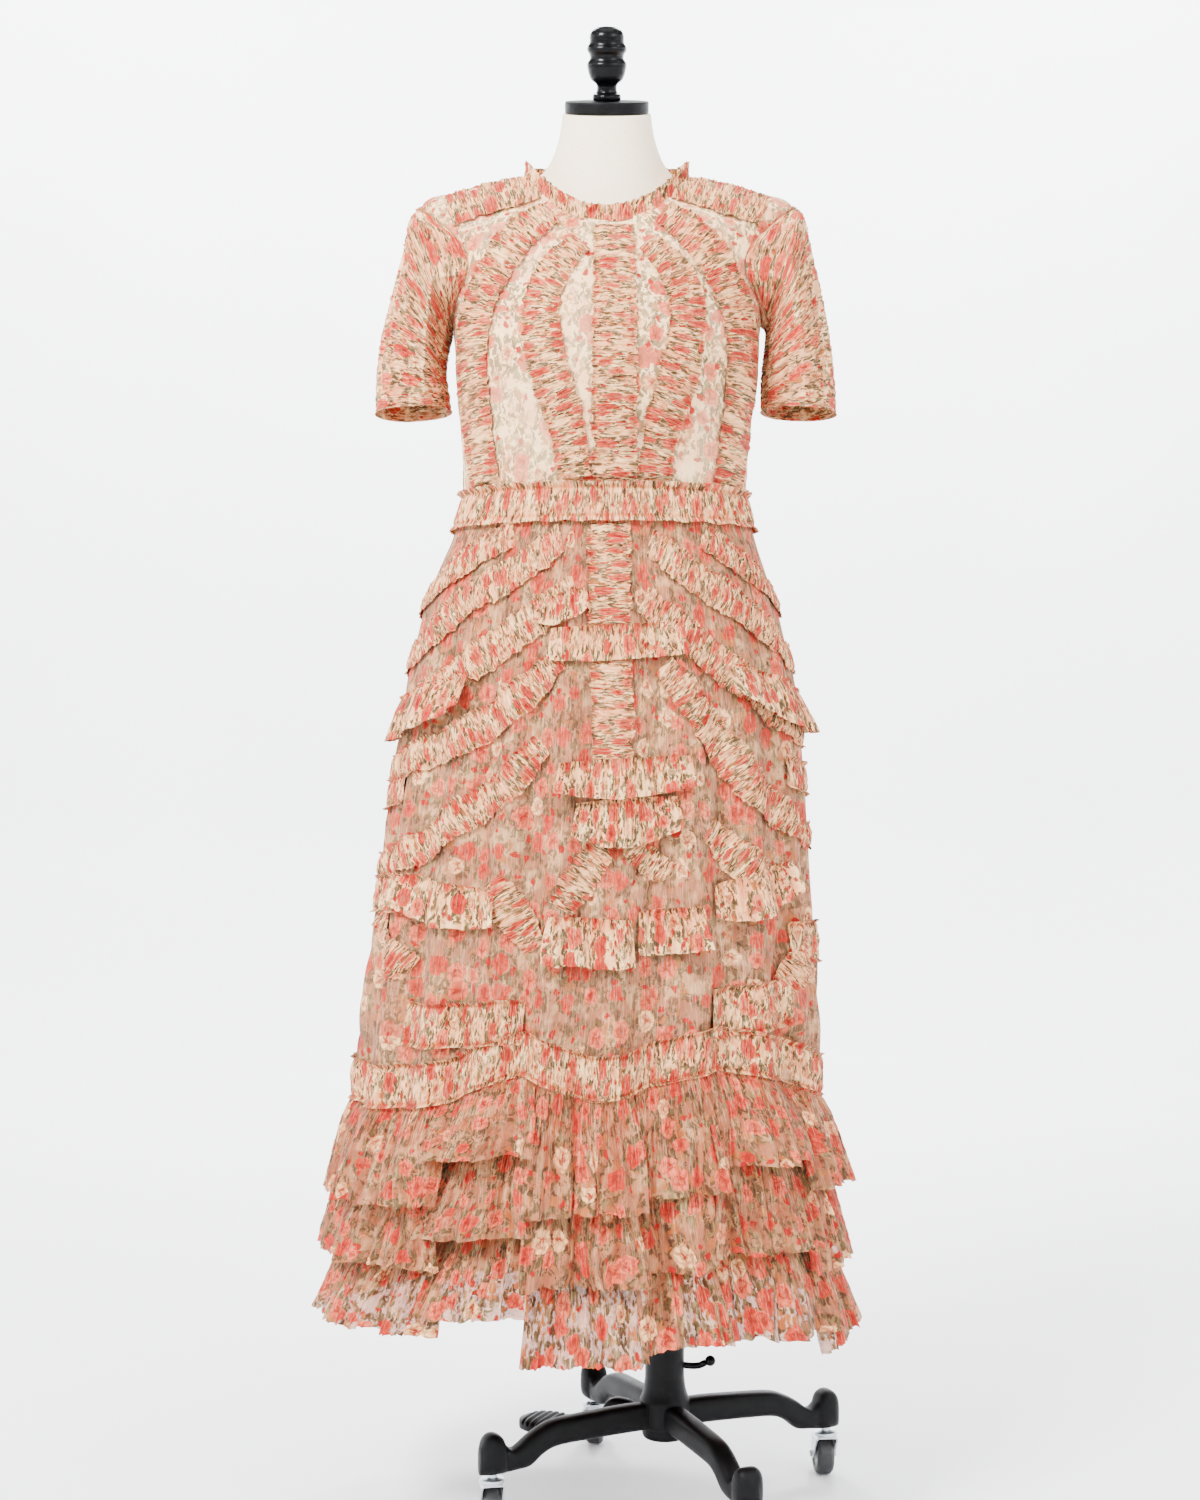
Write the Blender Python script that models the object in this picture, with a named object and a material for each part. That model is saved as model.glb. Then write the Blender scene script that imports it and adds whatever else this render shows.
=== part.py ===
"""A ruched and tiered midi dress on a limbless dress form with a four-caster stand.

Metres, +Z up. The origin is on the floor under the middle of the hem. The front of the dress faces -Y.
Angles round the body are polar: 0 is the wearer's left side (+X), -90 the front, 180 the other side.
"""

import math
from collections import namedtuple

import bmesh
import bpy
import numpy as np

# Cloth
WALL = 0.0012  # thickness of every cloth wall
SEAM = 0.0006  # clearance where one piece is sewn to the next
LIFT = 0.0010  # clearance of a ruffle or tier over the skirt that carries it
STRIP_LIFT = 0.0018  # clearance of a ruched strip's corners over the bodice's facets
FORM_GAP = 0.0010  # clearance of the form under the bodice

# Body of the garment from the waist seam to the neckline, measured to the outside of the cloth.
# The x, y columns place each loop's centre; front and back are depths from it.
BodyRow = namedtuple("BodyRow", "side_z front_z back_z half front back x y")
BODY_ROWS = [
    BodyRow(1.1835, 1.1835, 1.1835, 0.1655, 0.122, 0.100, 0.0215, 0.0),
    BodyRow(1.2300, 1.2300, 1.2300, 0.1665, 0.131, 0.103, 0.0220, 0.0),
    BodyRow(1.2850, 1.2850, 1.2850, 0.1720, 0.144, 0.108, 0.0230, 0.0),
    BodyRow(1.3310, 1.3290, 1.3330, 0.1768, 0.147, 0.113, 0.0240, 0.0),
    BodyRow(1.3850, 1.3720, 1.3900, 0.1800, 0.138, 0.118, 0.0240, 0.0),
    BodyRow(1.4300, 1.4050, 1.4400, 0.1880, 0.127, 0.121, 0.0240, 0.0),
    BodyRow(1.4800, 1.4350, 1.4850, 0.2020, 0.115, 0.115, 0.0240, 0.0),
    BodyRow(1.5240, 1.4620, 1.5250, 0.2155, 0.100, 0.100, 0.0240, 0.0),
    BodyRow(1.5430, 1.4760, 1.5520, 0.1580, 0.091, 0.088, 0.0240, 0.0),
    BodyRow(1.5560, 1.4870, 1.5720, 0.0980, 0.084, 0.078, 0.0240, 0.0),
]
ARMPIT_ROW, SHOULDER_ROW, NECK_ROW = 4, 7, 9
ROUNDNESS = 2.15  # exponent of every loop's outline; 2 is an ellipse
ARMHOLE_ANGLE = 26.0  # how far the armhole cuts in from the side, degrees

# Neck and underside of the form
NECK_ROWS = [
    BodyRow(1.5620, 1.4960, 1.5800, 0.0760, 0.067, 0.064, 0.0240, 0.0),
    BodyRow(1.5780, 1.5280, 1.5980, 0.0650, 0.060, 0.058, 0.0240, 0.0),
    BodyRow(1.6050, 1.5750, 1.6230, 0.0560, 0.055, 0.054, 0.0240, 0.0),
    BodyRow(1.6330, 1.6150, 1.6510, 0.0517, 0.0517, 0.0517, 0.0240, 0.0),
]
FORM_LOW_ROWS = [
    BodyRow(0.8000, 0.8000, 0.8000, 0.1630, 0.096, 0.098, 0.0200, 0.0),
    BodyRow(0.8250, 0.8250, 0.8250, 0.1790, 0.109, 0.112, 0.0200, 0.0),
    BodyRow(0.8900, 0.8900, 0.8900, 0.1910, 0.120, 0.121, 0.0200, 0.0),
    BodyRow(0.9900, 0.9900, 0.9900, 0.1910, 0.124, 0.117, 0.0200, 0.0),
    BodyRow(1.1000, 1.1000, 1.1000, 0.1690, 0.120, 0.101, 0.0210, 0.0),
]

# Skirt from the waist seam to under the last tier; fold is the half-depth of the soft folds.
SkirtRow = namedtuple("SkirtRow", "z half front back x fold")
SKIRT_ROWS = [
    SkirtRow(1.1435, 0.1740, 0.1270, 0.1050, 0.0207, 0.0000),
    SkirtRow(1.1000, 0.1880, 0.1370, 0.1160, 0.0185, 0.0010),
    SkirtRow(1.0570, 0.2040, 0.1480, 0.1300, 0.0166, 0.0020),
    SkirtRow(0.9780, 0.2210, 0.1600, 0.1480, 0.0168, 0.0035),
    SkirtRow(0.9000, 0.2310, 0.1680, 0.1580, 0.0155, 0.0050),
    SkirtRow(0.8000, 0.2410, 0.1770, 0.1700, 0.0120, 0.0060),
    SkirtRow(0.6000, 0.2580, 0.1910, 0.1900, 0.0065, 0.0074),
    SkirtRow(0.5250, 0.2640, 0.1960, 0.1960, 0.0020, 0.0078),
    SkirtRow(0.4730, 0.2650, 0.1980, 0.1980, 0.0000, 0.0074),
    SkirtRow(0.3200, 0.2600, 0.1930, 0.1950, 0.0000, 0.0050),
]
SKIRT_FOLDS = 18
SKIRT_COLUMNS = 72

# Pleated tiers: each hangs from its heading and stands out more towards its edge.
Tier = namedtuple("Tier", "name top drop spread pleat")
TIERS = [
    Tier("tier1", 0.4780, 0.1130, 0.0270, 0.0130),
    Tier("tier2", 0.4150, 0.1230, 0.0300, 0.0120),
    Tier("tier3", 0.3350, 0.1180, 0.0400, 0.0120),
]
# Each tier is sewn in five overlapping sections; low adds to the drop at its start and end.
Section = namedtuple("Section", "name start end low_start low_end")
SECTIONS = [
    Section("left", -200.0, -105.0, 0.000, -0.016),
    Section("centre", -105.0, -75.0, 0.004, 0.008),
    Section("second", -75.0, -55.0, 0.004, -0.004),
    Section("right", -55.0, 20.0, -0.014, 0.000),
    Section("back", 20.0, 160.0, 0.000, 0.000),
]
SECTION_GAP = 0.6  # degrees left open between two sections

# How far the heading band and the tiers climb towards the front panels, by angle in degrees.
HeadingRise = namedtuple("HeadingRise", "angle rise")
HEADING_RISES = [
    HeadingRise(-200.0, 0.000), HeadingRise(-160.0, 0.000), HeadingRise(-135.0, 0.014),
    HeadingRise(-112.0, 0.050), HeadingRise(-104.0, 0.040), HeadingRise(-92.0, 0.026),
    HeadingRise(-80.0, 0.026), HeadingRise(-68.0, 0.040), HeadingRise(-52.0, 0.052),
    HeadingRise(-30.0, 0.034), HeadingRise(-8.0, 0.004), HeadingRise(20.0, 0.000),
    HeadingRise(160.0, 0.000),
]

# Ruffles applied to the skirt: heading height, drop, angles round the body and how far they stand out.
# sag lifts the ends of a scalloped ruffle.
Ruffle = namedtuple("Ruffle", "name top drop start end spread pleat sag")
RUFFLES = [
    Ruffle("ruffle_upper", 1.020, 0.036, -110.0, -57.5, 0.006, 0.006, 0.0),
    Ruffle("ruffle_middle", 0.828, 0.050, -97.5, -62.5, 0.010, 0.007, 0.010),
    Ruffle("ruffle_low_left", 0.698, 0.050, -105.0, -77.5, 0.008, 0.007, 0.0),
    Ruffle("ruffle_low_right", 0.708, 0.046, -75.0, -55.0, 0.008, 0.007, 0.0),
    Ruffle("ruffle_side_left", 0.942, 0.050, -195.0, -140.0, 0.012, 0.007, 0.0),
    Ruffle("ruffle_side_right", 0.952, 0.050, -40.0, 15.0, 0.012, 0.007, 0.0),
]
RUFFLE_STEP, TIER_STEP = 2.5, 5.0  # degrees between a pleat's crest and its trough

# Ruched strips laid on the bodice front: centre-line points (across, height) from the middle
StripPoint = namedtuple("StripPoint", "across height width")
INNER_RAY = [
    StripPoint(0.040, 1.452, 0.022),
    StripPoint(0.062, 1.428, 0.030),
    StripPoint(0.079, 1.390, 0.036),
    StripPoint(0.078, 1.342, 0.040),
    StripPoint(0.069, 1.297, 0.040),
    StripPoint(0.054, 1.253, 0.037),
    StripPoint(0.047, 1.209, 0.034),
    StripPoint(0.045, 1.187, 0.034),
]
YOKE_BAND = [
    StripPoint(0.066, 1.494, 0.024),
    StripPoint(0.098, 1.466, 0.034),
    StripPoint(0.122, 1.430, 0.034),
    StripPoint(0.134, 1.390, 0.030),
    StripPoint(0.137, 1.340, 0.026),
    StripPoint(0.132, 1.280, 0.026),
    StripPoint(0.124, 1.225, 0.026),
    StripPoint(0.119, 1.187, 0.026),
]
SHOULDER_BAND = [
    StripPoint(0.094, 1.519, 0.022),
    StripPoint(0.125, 1.511, 0.026),
    StripPoint(0.150, 1.503, 0.026),
    StripPoint(0.170, 1.495, 0.022),
]
CENTRE_STRIP = [
    StripPoint(0.0, 1.478, 0.040),
    StripPoint(0.0, 1.400, 0.044),
    StripPoint(0.0, 1.300, 0.046),
    StripPoint(0.0, 1.187, 0.046),
]
CENTRE_SHIFT = 0.008  # the centre strip and inner rays sit this far towards +X
GATHER = 0.0012  # height of the gathers raised in a strip's outer face
SKIRT_STRIP_TOP, SKIRT_STRIP_BOTTOM, SKIRT_STRIP_ANGLE, SKIRT_STRIP_WIDTH = 1.136, 1.025, -90.0, 0.044

# Waistband and collar
BAND_TOP, BAND_BOTTOM = 1.1795, 1.1475
BAND_FRILL_RISE, BAND_FRILL_OUT = 0.006, 0.0034
BAND_EASE = 0.0008  # how far the band's upper edge stands outside the bodice
BAND_DIP = 0.0032  # how far the skirt's top swells under the lower frill
COLLAR_RISE, COLLAR_IN, COLLAR_PLEAT, COLLAR_WAVES = 0.020, 0.012, 0.0030, 20
HEADING_TOP, HEADING_BOTTOM = 0.525, 0.484

# Sleeves: the outer arm line (over) and the underarm line (under) of each ring, from the middle
SleeveRow = namedtuple("SleeveRow", "over_x over_z under_x under_z half_depth")
SLEEVE_ROWS = [
    SleeveRow(0.2260, 1.5120, 0.1850, 1.3800, 0.0750),
    SleeveRow(0.2400, 1.4700, 0.1855, 1.3650, 0.0740),
    SleeveRow(0.2540, 1.4100, 0.1855, 1.3420, 0.0690),
    SleeveRow(0.2625, 1.3500, 0.1850, 1.3150, 0.0630),
    SleeveRow(0.2680, 1.2780, 0.1835, 1.2830, 0.0560),
]
SLEEVE_RIDGE = 0.0008  # how far a sleeve's ruched strips stand out
SLEEVE_STEPS = 2  # sleeve columns for each step of the armhole edge

# Stand
COLUMN_X, COLUMN_Y = 0.092, 0.0
COLUMN_RADIUS, COLUMN_TOP, HUB_BOTTOM = 0.023, 0.520, 0.078
POLE_RADIUS, POLE_BOTTOM, BORE_BOTTOM = 0.0160, 0.300, 0.150
BORE_RADIUS = 0.0166
FLANGE_RADIUS, FLANGE_THICK = 0.045, 0.006
CASTER_CIRCLE = 0.2155
FIRST_LEG_ANGLE = 23.0  # of the leg towards +X, degrees from +X
LegRow = namedtuple("LegRow", "out top bottom half_width")
LEG_ROWS = [
    LegRow(0.0100, 0.1200, 0.0900, 0.0130),
    LegRow(0.0500, 0.1205, 0.0895, 0.0130),
    LegRow(0.1000, 0.1180, 0.0880, 0.0130),
    LegRow(0.1380, 0.1150, 0.0858, 0.0130),
    LegRow(0.1560, 0.1095, 0.0790, 0.0130),
    LegRow(0.1720, 0.1010, 0.0670, 0.0128),
    LegRow(0.1900, 0.0885, 0.0645, 0.0125),
    LegRow(0.2000, 0.0940, 0.0632, 0.0120),
    LegRow(0.2050, 0.1035, 0.0627, 0.0145),
    LegRow(0.2100, 0.1072, 0.0627, 0.0160),
    LegRow(0.2155, 0.1085, 0.0627, 0.0165),
    LegRow(0.2215, 0.1070, 0.0627, 0.0155),
    LegRow(0.2270, 0.1020, 0.0627, 0.0118),
    LegRow(0.2310, 0.0930, 0.0627, 0.0060),
]

# Casters: angle that each wheel trails, counted from +X
WHEEL_RADIUS, WHEEL_HALF_WIDTH, WHEEL_SIDES = 0.025, 0.0105, 20
FORK_GAP, CHEEK, TRAIL = 0.0009, 0.0022, 0.018
FORK_TOP, STEM_RADIUS, WASHER_RADIUS = 0.0576, 0.0055, 0.0135
TRAIL_ANGLES = [95.0, 84.0, 100.0, 80.0]
LEG_NAMES = ["right", "back", "left", "front"]

# Foot pedal and height lever
PEDAL_ANGLE = 154.0
PedalRow = namedtuple("PedalRow", "out top bottom half_width")
PEDAL_ROWS = [
    PedalRow(0.0293, 0.1060, 0.0860, 0.0035),
    PedalRow(0.0480, 0.1150, 0.0780, 0.0090),
    PedalRow(0.0720, 0.1120, 0.0700, 0.0100),
    PedalRow(0.0900, 0.0860, 0.0670, 0.0100),
    PedalRow(0.1180, 0.0780, 0.0660, 0.0105),
    PedalRow(0.1280, 0.0780, 0.0640, 0.0210),
    PedalRow(0.1450, 0.0790, 0.0640, 0.0290),
    PedalRow(0.1640, 0.0790, 0.0640, 0.0290),
    PedalRow(0.1820, 0.0780, 0.0640, 0.0200),
    PedalRow(0.1900, 0.0760, 0.0660, 0.0080),
]
LEVER_HEIGHT, LEVER_REACH, LEVER_RADIUS, LEVER_BALL = 0.1615, 0.025, 0.0038, 0.0062

# Finial and neck cap, turned about a vertical axis; radius and height above the neck's top
CAP_RADIUS, CAP_THICK = 0.0494, 0.014
FINIAL_PROFILE = [
    (0.0165, 0.0000), (0.0165, 0.0080), (0.0118, 0.0110), (0.0118, 0.0180),
    (0.0185, 0.0230), (0.0228, 0.0370), (0.0228, 0.0430), (0.0194, 0.0495),
    (0.0228, 0.0560), (0.0228, 0.0610), (0.0200, 0.0670), (0.0198, 0.0720),
    (0.0170, 0.0785), (0.0100, 0.0825),
]

FINISHES = {
    "tulle": ((0.86, 0.66, 0.55), 0.85, 0.0),
    "tulle_ruched": ((0.80, 0.50, 0.40), 0.85, 0.0),
    "tulle_tier": ((0.84, 0.60, 0.50), 0.85, 0.0),
    "linen": ((0.86, 0.82, 0.75), 0.90, 0.0),
    "black_paint": ((0.015, 0.015, 0.016), 0.38, 0.0),
    "black_gloss": ((0.012, 0.012, 0.012), 0.22, 0.0),
    "zinc": ((0.62, 0.65, 0.67), 0.32, 1.0),
    "rubber": ((0.02, 0.02, 0.02), 0.55, 0.0),
}


def clear_scene():
    for old in list(bpy.data.objects):
        bpy.data.objects.remove(old, do_unlink=True)


def finish(name):
    """The Principled material of that name, made once."""
    material = bpy.data.materials.get(name)
    if material is None:
        colour, roughness, metallic = FINISHES[name]
        material = bpy.data.materials.new(name)
        material.use_nodes = True
        shader = material.node_tree.nodes["Principled BSDF"]
        shader.inputs["Base Color"].default_value = (*colour, 1.0)
        shader.inputs["Roughness"].default_value = roughness
        shader.inputs["Metallic"].default_value = metallic
        material.diffuse_color = (*colour, 1.0)
    return material


def enclosed_volume(points, faces):
    """Signed volume inside a closed mesh, negative where its faces point inwards."""
    total = 0.0
    for face in faces:
        a = points[face[0]]
        for k in range(1, len(face) - 1):
            total += np.dot(a, np.cross(points[face[k]], points[face[k + 1]]))
    return total / 6


def add_object(name, points, faces, material, smooth=True):
    points = np.array(points, float)
    if enclosed_volume(points - points.mean(axis=0), faces) < 0:
        faces = [tuple(reversed(face)) for face in faces]
    mesh = bpy.data.meshes.new(name)
    mesh.from_pydata([tuple(p) for p in points], [], faces)
    mesh.validate()
    if smooth:
        mesh.shade_smooth()
        mesh.set_sharp_from_angle(angle=math.radians(40))
    obj = bpy.data.objects.new(name, mesh)
    mesh.materials.append(finish(material))
    bpy.context.scene.collection.objects.link(obj)
    return obj


def unit(vectors):
    return vectors / np.maximum(np.linalg.norm(vectors, axis=-1, keepdims=True), 1e-12)


def smooth_rows(rows, at):
    """Each column of a table read at fractional row numbers, on a Catmull-Rom curve."""
    table = np.array(rows, float)
    at = np.clip(np.asarray(at, float), 0, len(table) - 1)
    base = np.minimum(at.astype(int), len(table) - 2)
    t = (at - base)[..., None]
    last = len(table) - 1
    before, here = table[np.maximum(base - 1, 0)], table[base]
    there, after = table[base + 1], table[np.minimum(base + 2, last)]
    return here + 0.5 * t * (there - before + t * (2 * before - 5 * here + 4 * there - after
                             + t * (3 * (here - there) + after - before)))


def loop_point(angle, row, rise=2.0):
    """A point at a polar angle on a body loop: |x/half|^n + |y/depth|^n = 1.

    Its height runs from side_z to front_z or back_z with the depth to the power of rise; 1 is a flat loop.
    """
    side_z, front_z, back_z, half, front, back, x, y = np.moveaxis(row, -1, 0)
    across, along = np.cos(angle), np.sin(angle)
    depth = np.where(along < 0, front, back)
    reach = (np.abs(across / half) ** ROUNDNESS + np.abs(along / depth) ** ROUNDNESS)
    reach = reach ** (-1 / ROUNDNESS)
    px, py = reach * across, reach * along
    turn = np.abs(py / depth) ** rise
    pz = side_z + (np.where(along < 0, front_z, back_z) - side_z) * turn
    return np.stack([x + px, y + py, pz], axis=-1)


def body_point(angle, row):
    return loop_point(angle, smooth_rows(BODY_ROWS, row))


def outward(point_at, a, b, step_a=0.02, step_b=0.02):
    """Outward unit normals of a surface given by two parameters."""
    across = point_at(a + step_a, b) - point_at(a - step_a, b)
    up = point_at(a, b + step_b) - point_at(a, b - step_b)
    return unit(np.cross(across, up))


def wall(name, outer, inner, material, ring):
    """A closed cloth wall from matching grids of outer and inner points, rows by columns."""
    rows, columns = outer.shape[:2]
    points = np.concatenate([outer.reshape(-1, 3), inner.reshape(-1, 3)])
    offset = rows * columns
    faces = []
    spans = columns if ring else columns - 1
    for r in range(rows - 1):
        for c in range(spans):
            a, b = r * columns + c, r * columns + (c + 1) % columns
            d, e = a + columns, b + columns
            faces += [(a, b, e), (a, e, d)]
            faces += [(offset + a, offset + e, offset + b), (offset + a, offset + d, offset + e)]
    for c in range(spans):
        n = (c + 1) % columns
        faces += [(c, offset + c, offset + n), (c, offset + n, n)]
        top = (rows - 1) * columns
        faces += [(top + c, top + n, offset + top + n), (top + c, offset + top + n, offset + top + c)]
    if not ring:
        for r in range(rows - 1):
            a, d = r * columns, (r + 1) * columns
            faces += [(a, d, offset + d), (a, offset + d, offset + a)]
            b, e = a + columns - 1, d + columns - 1
            faces += [(b, offset + b, offset + e), (b, offset + e, e)]
    return add_object(name, points, faces, material)


def solid_of_rings(name, rings, material):
    """A closed solid through rings of points, listed upwards, with flat or domed ends."""
    rows, columns = rings.shape[:2]
    points = np.concatenate([rings.reshape(-1, 3), rings[[0, -1]].mean(axis=1)])
    low, high = rows * columns, rows * columns + 1
    faces = []
    for r in range(rows - 1):
        for c in range(columns):
            a, b = r * columns + c, r * columns + (c + 1) % columns
            faces += [(a, b, b + columns), (a, b + columns, a + columns)]
    for c in range(columns):
        n = (c + 1) % columns
        faces += [(c, low, n), ((rows - 1) * columns + c, (rows - 1) * columns + n, high)]
    return add_object(name, points, faces, material)


def turned(name, profile, centre, material, sides=24, tilt=0.0):
    """A solid turned from (radius, height) points about a vertical axis, tilted forward."""
    angle = (np.arange(sides) + 0.5) * 2 * math.pi / sides
    profile = np.array(profile, float)
    rings = np.stack([
        np.outer(profile[:, 0], np.cos(angle)),
        np.outer(profile[:, 0], np.sin(angle)),
        np.repeat(profile[:, 1:], sides, axis=1),
    ], axis=-1)
    lean = np.array([[1, 0, 0], [0, math.cos(tilt), -math.sin(tilt)], [0, math.sin(tilt), math.cos(tilt)]])
    return solid_of_rings(name, rings @ lean.T + np.array(centre), material)


def grid_at(grid, row, column):
    """Points on a panel's own facets at fractional row and column numbers."""
    r = np.clip(row, 0, grid.shape[0] - 1)
    c = np.clip(column, 0, grid.shape[1] - 1)
    r0 = np.minimum(r.astype(int), grid.shape[0] - 2)
    c0 = np.minimum(c.astype(int), grid.shape[1] - 2)
    t, s = (r - r0)[..., None], (c - c0)[..., None]
    first, beside = grid[r0, c0], grid[r0, c0 + 1]
    above, opposite = grid[r0 + 1, c0], grid[r0 + 1, c0 + 1]
    return first + np.where(s >= t, s * (beside - first) + t * (opposite - beside),
                            t * (above - first) + s * (opposite - above))


# Bodice


def armhole_angle(row):
    """How far a bodice edge is set in from the side at a body row, in radians."""
    t = np.clip((row - ARMPIT_ROW) / (SHOULDER_ROW - ARMPIT_ROW), 0, 1)
    cut = math.radians(ARMHOLE_ANGLE) * np.sin(math.pi * t) ** 0.7
    return np.maximum(cut, SEAM / 2 / 0.17)


FRONT_COLUMNS, BACK_COLUMNS = 21, 9
HOLE_STEPS = 5  # rows of the bodice along an armhole


def bodice_angle(row, across, start, end):
    """The polar angle at a share (0 to 1) across a panel that runs between two sides."""
    inset = armhole_angle(row)
    first = start + np.where(np.isin(start, SIDES), inset, SEAM / 2 / 0.1)
    last = end - np.where(np.isin(end, SIDES), inset, SEAM / 2 / 0.1)
    return first + across * (last - first)


SIDES = (-math.pi, 0.0, math.pi)


def bodice_rows():
    """Body rows of the bodice grid, closer together round the armhole."""
    low = np.linspace(0, ARMPIT_ROW, 5)
    hole = np.linspace(ARMPIT_ROW, SHOULDER_ROW, HOLE_STEPS + 1)[1:]
    return np.concatenate([low, hole, np.linspace(SHOULDER_ROW, NECK_ROW, 4)[1:]])


def bodice_panel(name, start, end, columns):
    rows = bodice_rows()
    row, across = np.meshgrid(rows, np.linspace(0, 1, columns), indexing="ij")
    angle = bodice_angle(row, across, start, end)
    outer = body_point(angle, row)
    normal = outward(body_point, angle, row)
    wall(name, outer, outer - WALL * normal, "tulle", ring=False)
    return outer


def front_place(across, height):
    """Body angle and row of the front point at a distance from the middle and a height."""
    low, high = np.zeros_like(across), np.full_like(across, float(NECK_ROW))
    for _ in range(40):
        row = (low + high) / 2
        values = smooth_rows(BODY_ROWS, row)
        side_z, front_z, half, front = (values[..., i] for i in (0, 1, 3, 4))
        share = np.clip(np.abs(across) / half, 0, 0.995)
        forward = (1 - share ** ROUNDNESS) ** (1 / ROUNDNESS)
        z = side_z + (front_z - side_z) * forward ** 2
        low = np.where(z < height, row, low)
        high = np.where(z < height, high, row)
    return np.arctan2(-front * forward, across), row


def strip_on_front(name, points, side, shift, front_grid, gathers):
    """A ruched strip on the bodice front, its gathers raised as ridges across it."""
    steps = 2 * gathers + 1
    t = np.linspace(0, len(points) - 1, steps)
    line = smooth_rows(points, t)
    middle = np.stack([side * line[:, 0] + shift, line[:, 1]], axis=-1)
    ahead = unit(np.gradient(middle, axis=0))
    aside = np.stack([-ahead[:, 1], ahead[:, 0]], axis=-1)
    share = np.linspace(-0.5, 0.5, 3)
    flat = middle[:, None] + aside[:, None] * (line[:, 2:3] * share)[..., None]
    angle, row = front_place(flat[..., 0], flat[..., 1])
    inset = armhole_angle(row)
    across = (angle + math.pi - inset) / (math.pi - 2 * inset)
    across = np.clip(across, 0.004, 0.996)
    grid_row = np.interp(row, bodice_rows(), np.arange(len(bodice_rows())))
    base = grid_at(front_grid, grid_row, across * (FRONT_COLUMNS - 1))
    normal = outward(body_point, angle, row)
    ridge = GATHER * (np.arange(steps) % 2)[:, None, None]
    inner = base + STRIP_LIFT * normal
    outer = inner + (WALL + ridge) * normal
    wall(name, outer, inner, "tulle_ruched", ring=False)


def add_bodice():
    front = bodice_panel("bodice_front", -math.pi, 0.0, FRONT_COLUMNS)
    bodice_panel("bodice_back_right", 0.0, math.pi / 2, BACK_COLUMNS)
    bodice_panel("bodice_back_left", math.pi / 2, math.pi, BACK_COLUMNS)
    strip_on_front("strip_bodice", CENTRE_STRIP, 1, CENTRE_SHIFT, front, 16)
    for side, name in ((-1, "left"), (1, "right")):
        strip_on_front(f"ray_inner_{name}", INNER_RAY, side, CENTRE_SHIFT, front, 12)
        strip_on_front(f"yoke_band_{name}", YOKE_BAND, side, 0.0, front, 14)
        strip_on_front(f"shoulder_band_{name}", SHOULDER_BAND, side, 0.0, front, 5)


def zigzag(count):
    return np.arange(count) % 2


def add_collar():
    """A small stand collar, gathered into short pleats."""
    columns = 2 * COLLAR_WAVES
    angle = np.arange(columns) * 2 * math.pi / columns
    foot = body_point(angle, np.full(columns, float(NECK_ROW)))
    foot[:, 2] += SEAM
    inward = foot - np.array([BODY_ROWS[-1].x, BODY_ROWS[-1].y, 0])
    inward[:, 2] = 0
    out = unit(inward)
    crest = foot - COLLAR_IN * out + np.array([0, 0, COLLAR_RISE])
    crest = crest + COLLAR_PLEAT * zigzag(columns)[:, None] * out
    outer = np.stack([foot, crest])
    wall("collar_ruffle", outer, outer - WALL * out, "tulle_ruched", ring=True)


def add_sleeve(name, side):
    """A short sleeve: the armhole's own points, then rings down to the open hem."""
    steps = HOLE_STEPS * SLEEVE_STEPS
    turn = np.arange(2 * steps) * math.pi / steps
    down = 1 - np.abs(turn / math.pi - 1)
    hole = np.linspace(SHOULDER_ROW, ARMPIT_ROW, HOLE_STEPS + 1)
    cut = armhole_angle(hole)
    front_edge, back_edge = body_point(-cut, hole), body_point(cut, hole)
    at = down * HOLE_STEPS
    edges = np.where((turn <= math.pi)[:, None], edge_at(front_edge, at), edge_at(back_edge, at))
    middle_x = BODY_ROWS[SHOULDER_ROW].x
    rings = [edges + np.array([SEAM, 0, 0])]
    for ring in SLEEVE_ROWS:
        over = np.array([middle_x + ring.over_x, 0, ring.over_z])
        under = np.array([middle_x + ring.under_x, 0, ring.under_z])
        centre, arm = (over + under) / 2, (over - under) / 2
        rings.append(centre + np.outer(np.cos(turn), arm)
                     + np.outer(-np.sin(turn) * ring.half_depth, [0, 1, 0]))
    outer = np.stack(rings)
    centre = outer.mean(axis=1, keepdims=True)
    along = unit(np.gradient(centre, axis=0))
    radial = outer - centre
    radial = unit(radial - (radial * along).sum(-1, keepdims=True) * along)
    ruched = (np.arange(2 * steps) % 4 < 2)[None, :, None]
    inner = outer - WALL * radial
    outer = outer + SLEEVE_RIDGE * ruched * radial * (np.arange(len(rings)) > 0)[:, None, None]
    if side < 0:
        mirror, shift = np.array([-1, 1, 1]), np.array([2 * middle_x, 0, 0])
        outer, inner = outer * mirror + shift, inner * mirror + shift
    wall(name, outer, inner, "tulle_ruched", ring=True)


def edge_at(edge, at):
    """Points at fractional places along a polyline."""
    return np.stack([np.interp(at, np.arange(len(edge)), edge[:, k]) for k in range(3)], axis=-1)


# Skirt


def skirt_point(angle, z):
    """The skirt's outside at a polar angle and a height, folds included."""
    heights = [-row.z for row in SKIRT_ROWS]
    at = np.interp(-z, heights, np.arange(len(SKIRT_ROWS)))
    values = smooth_rows(SKIRT_ROWS, at)
    half, front, back, x, fold = (values[..., i] for i in range(1, 6))
    row = np.stack([z, z, z, half, front, back, x, np.zeros_like(x)], axis=-1)
    base = loop_point(angle, row)
    out = np.stack([np.cos(angle), np.sin(angle), np.zeros_like(x)], axis=-1)
    wave = np.cos(SKIRT_FOLDS * angle + 1.1 * np.sin(3 * angle + 0.7))
    return base + (fold * wave)[..., None] * out


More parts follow.
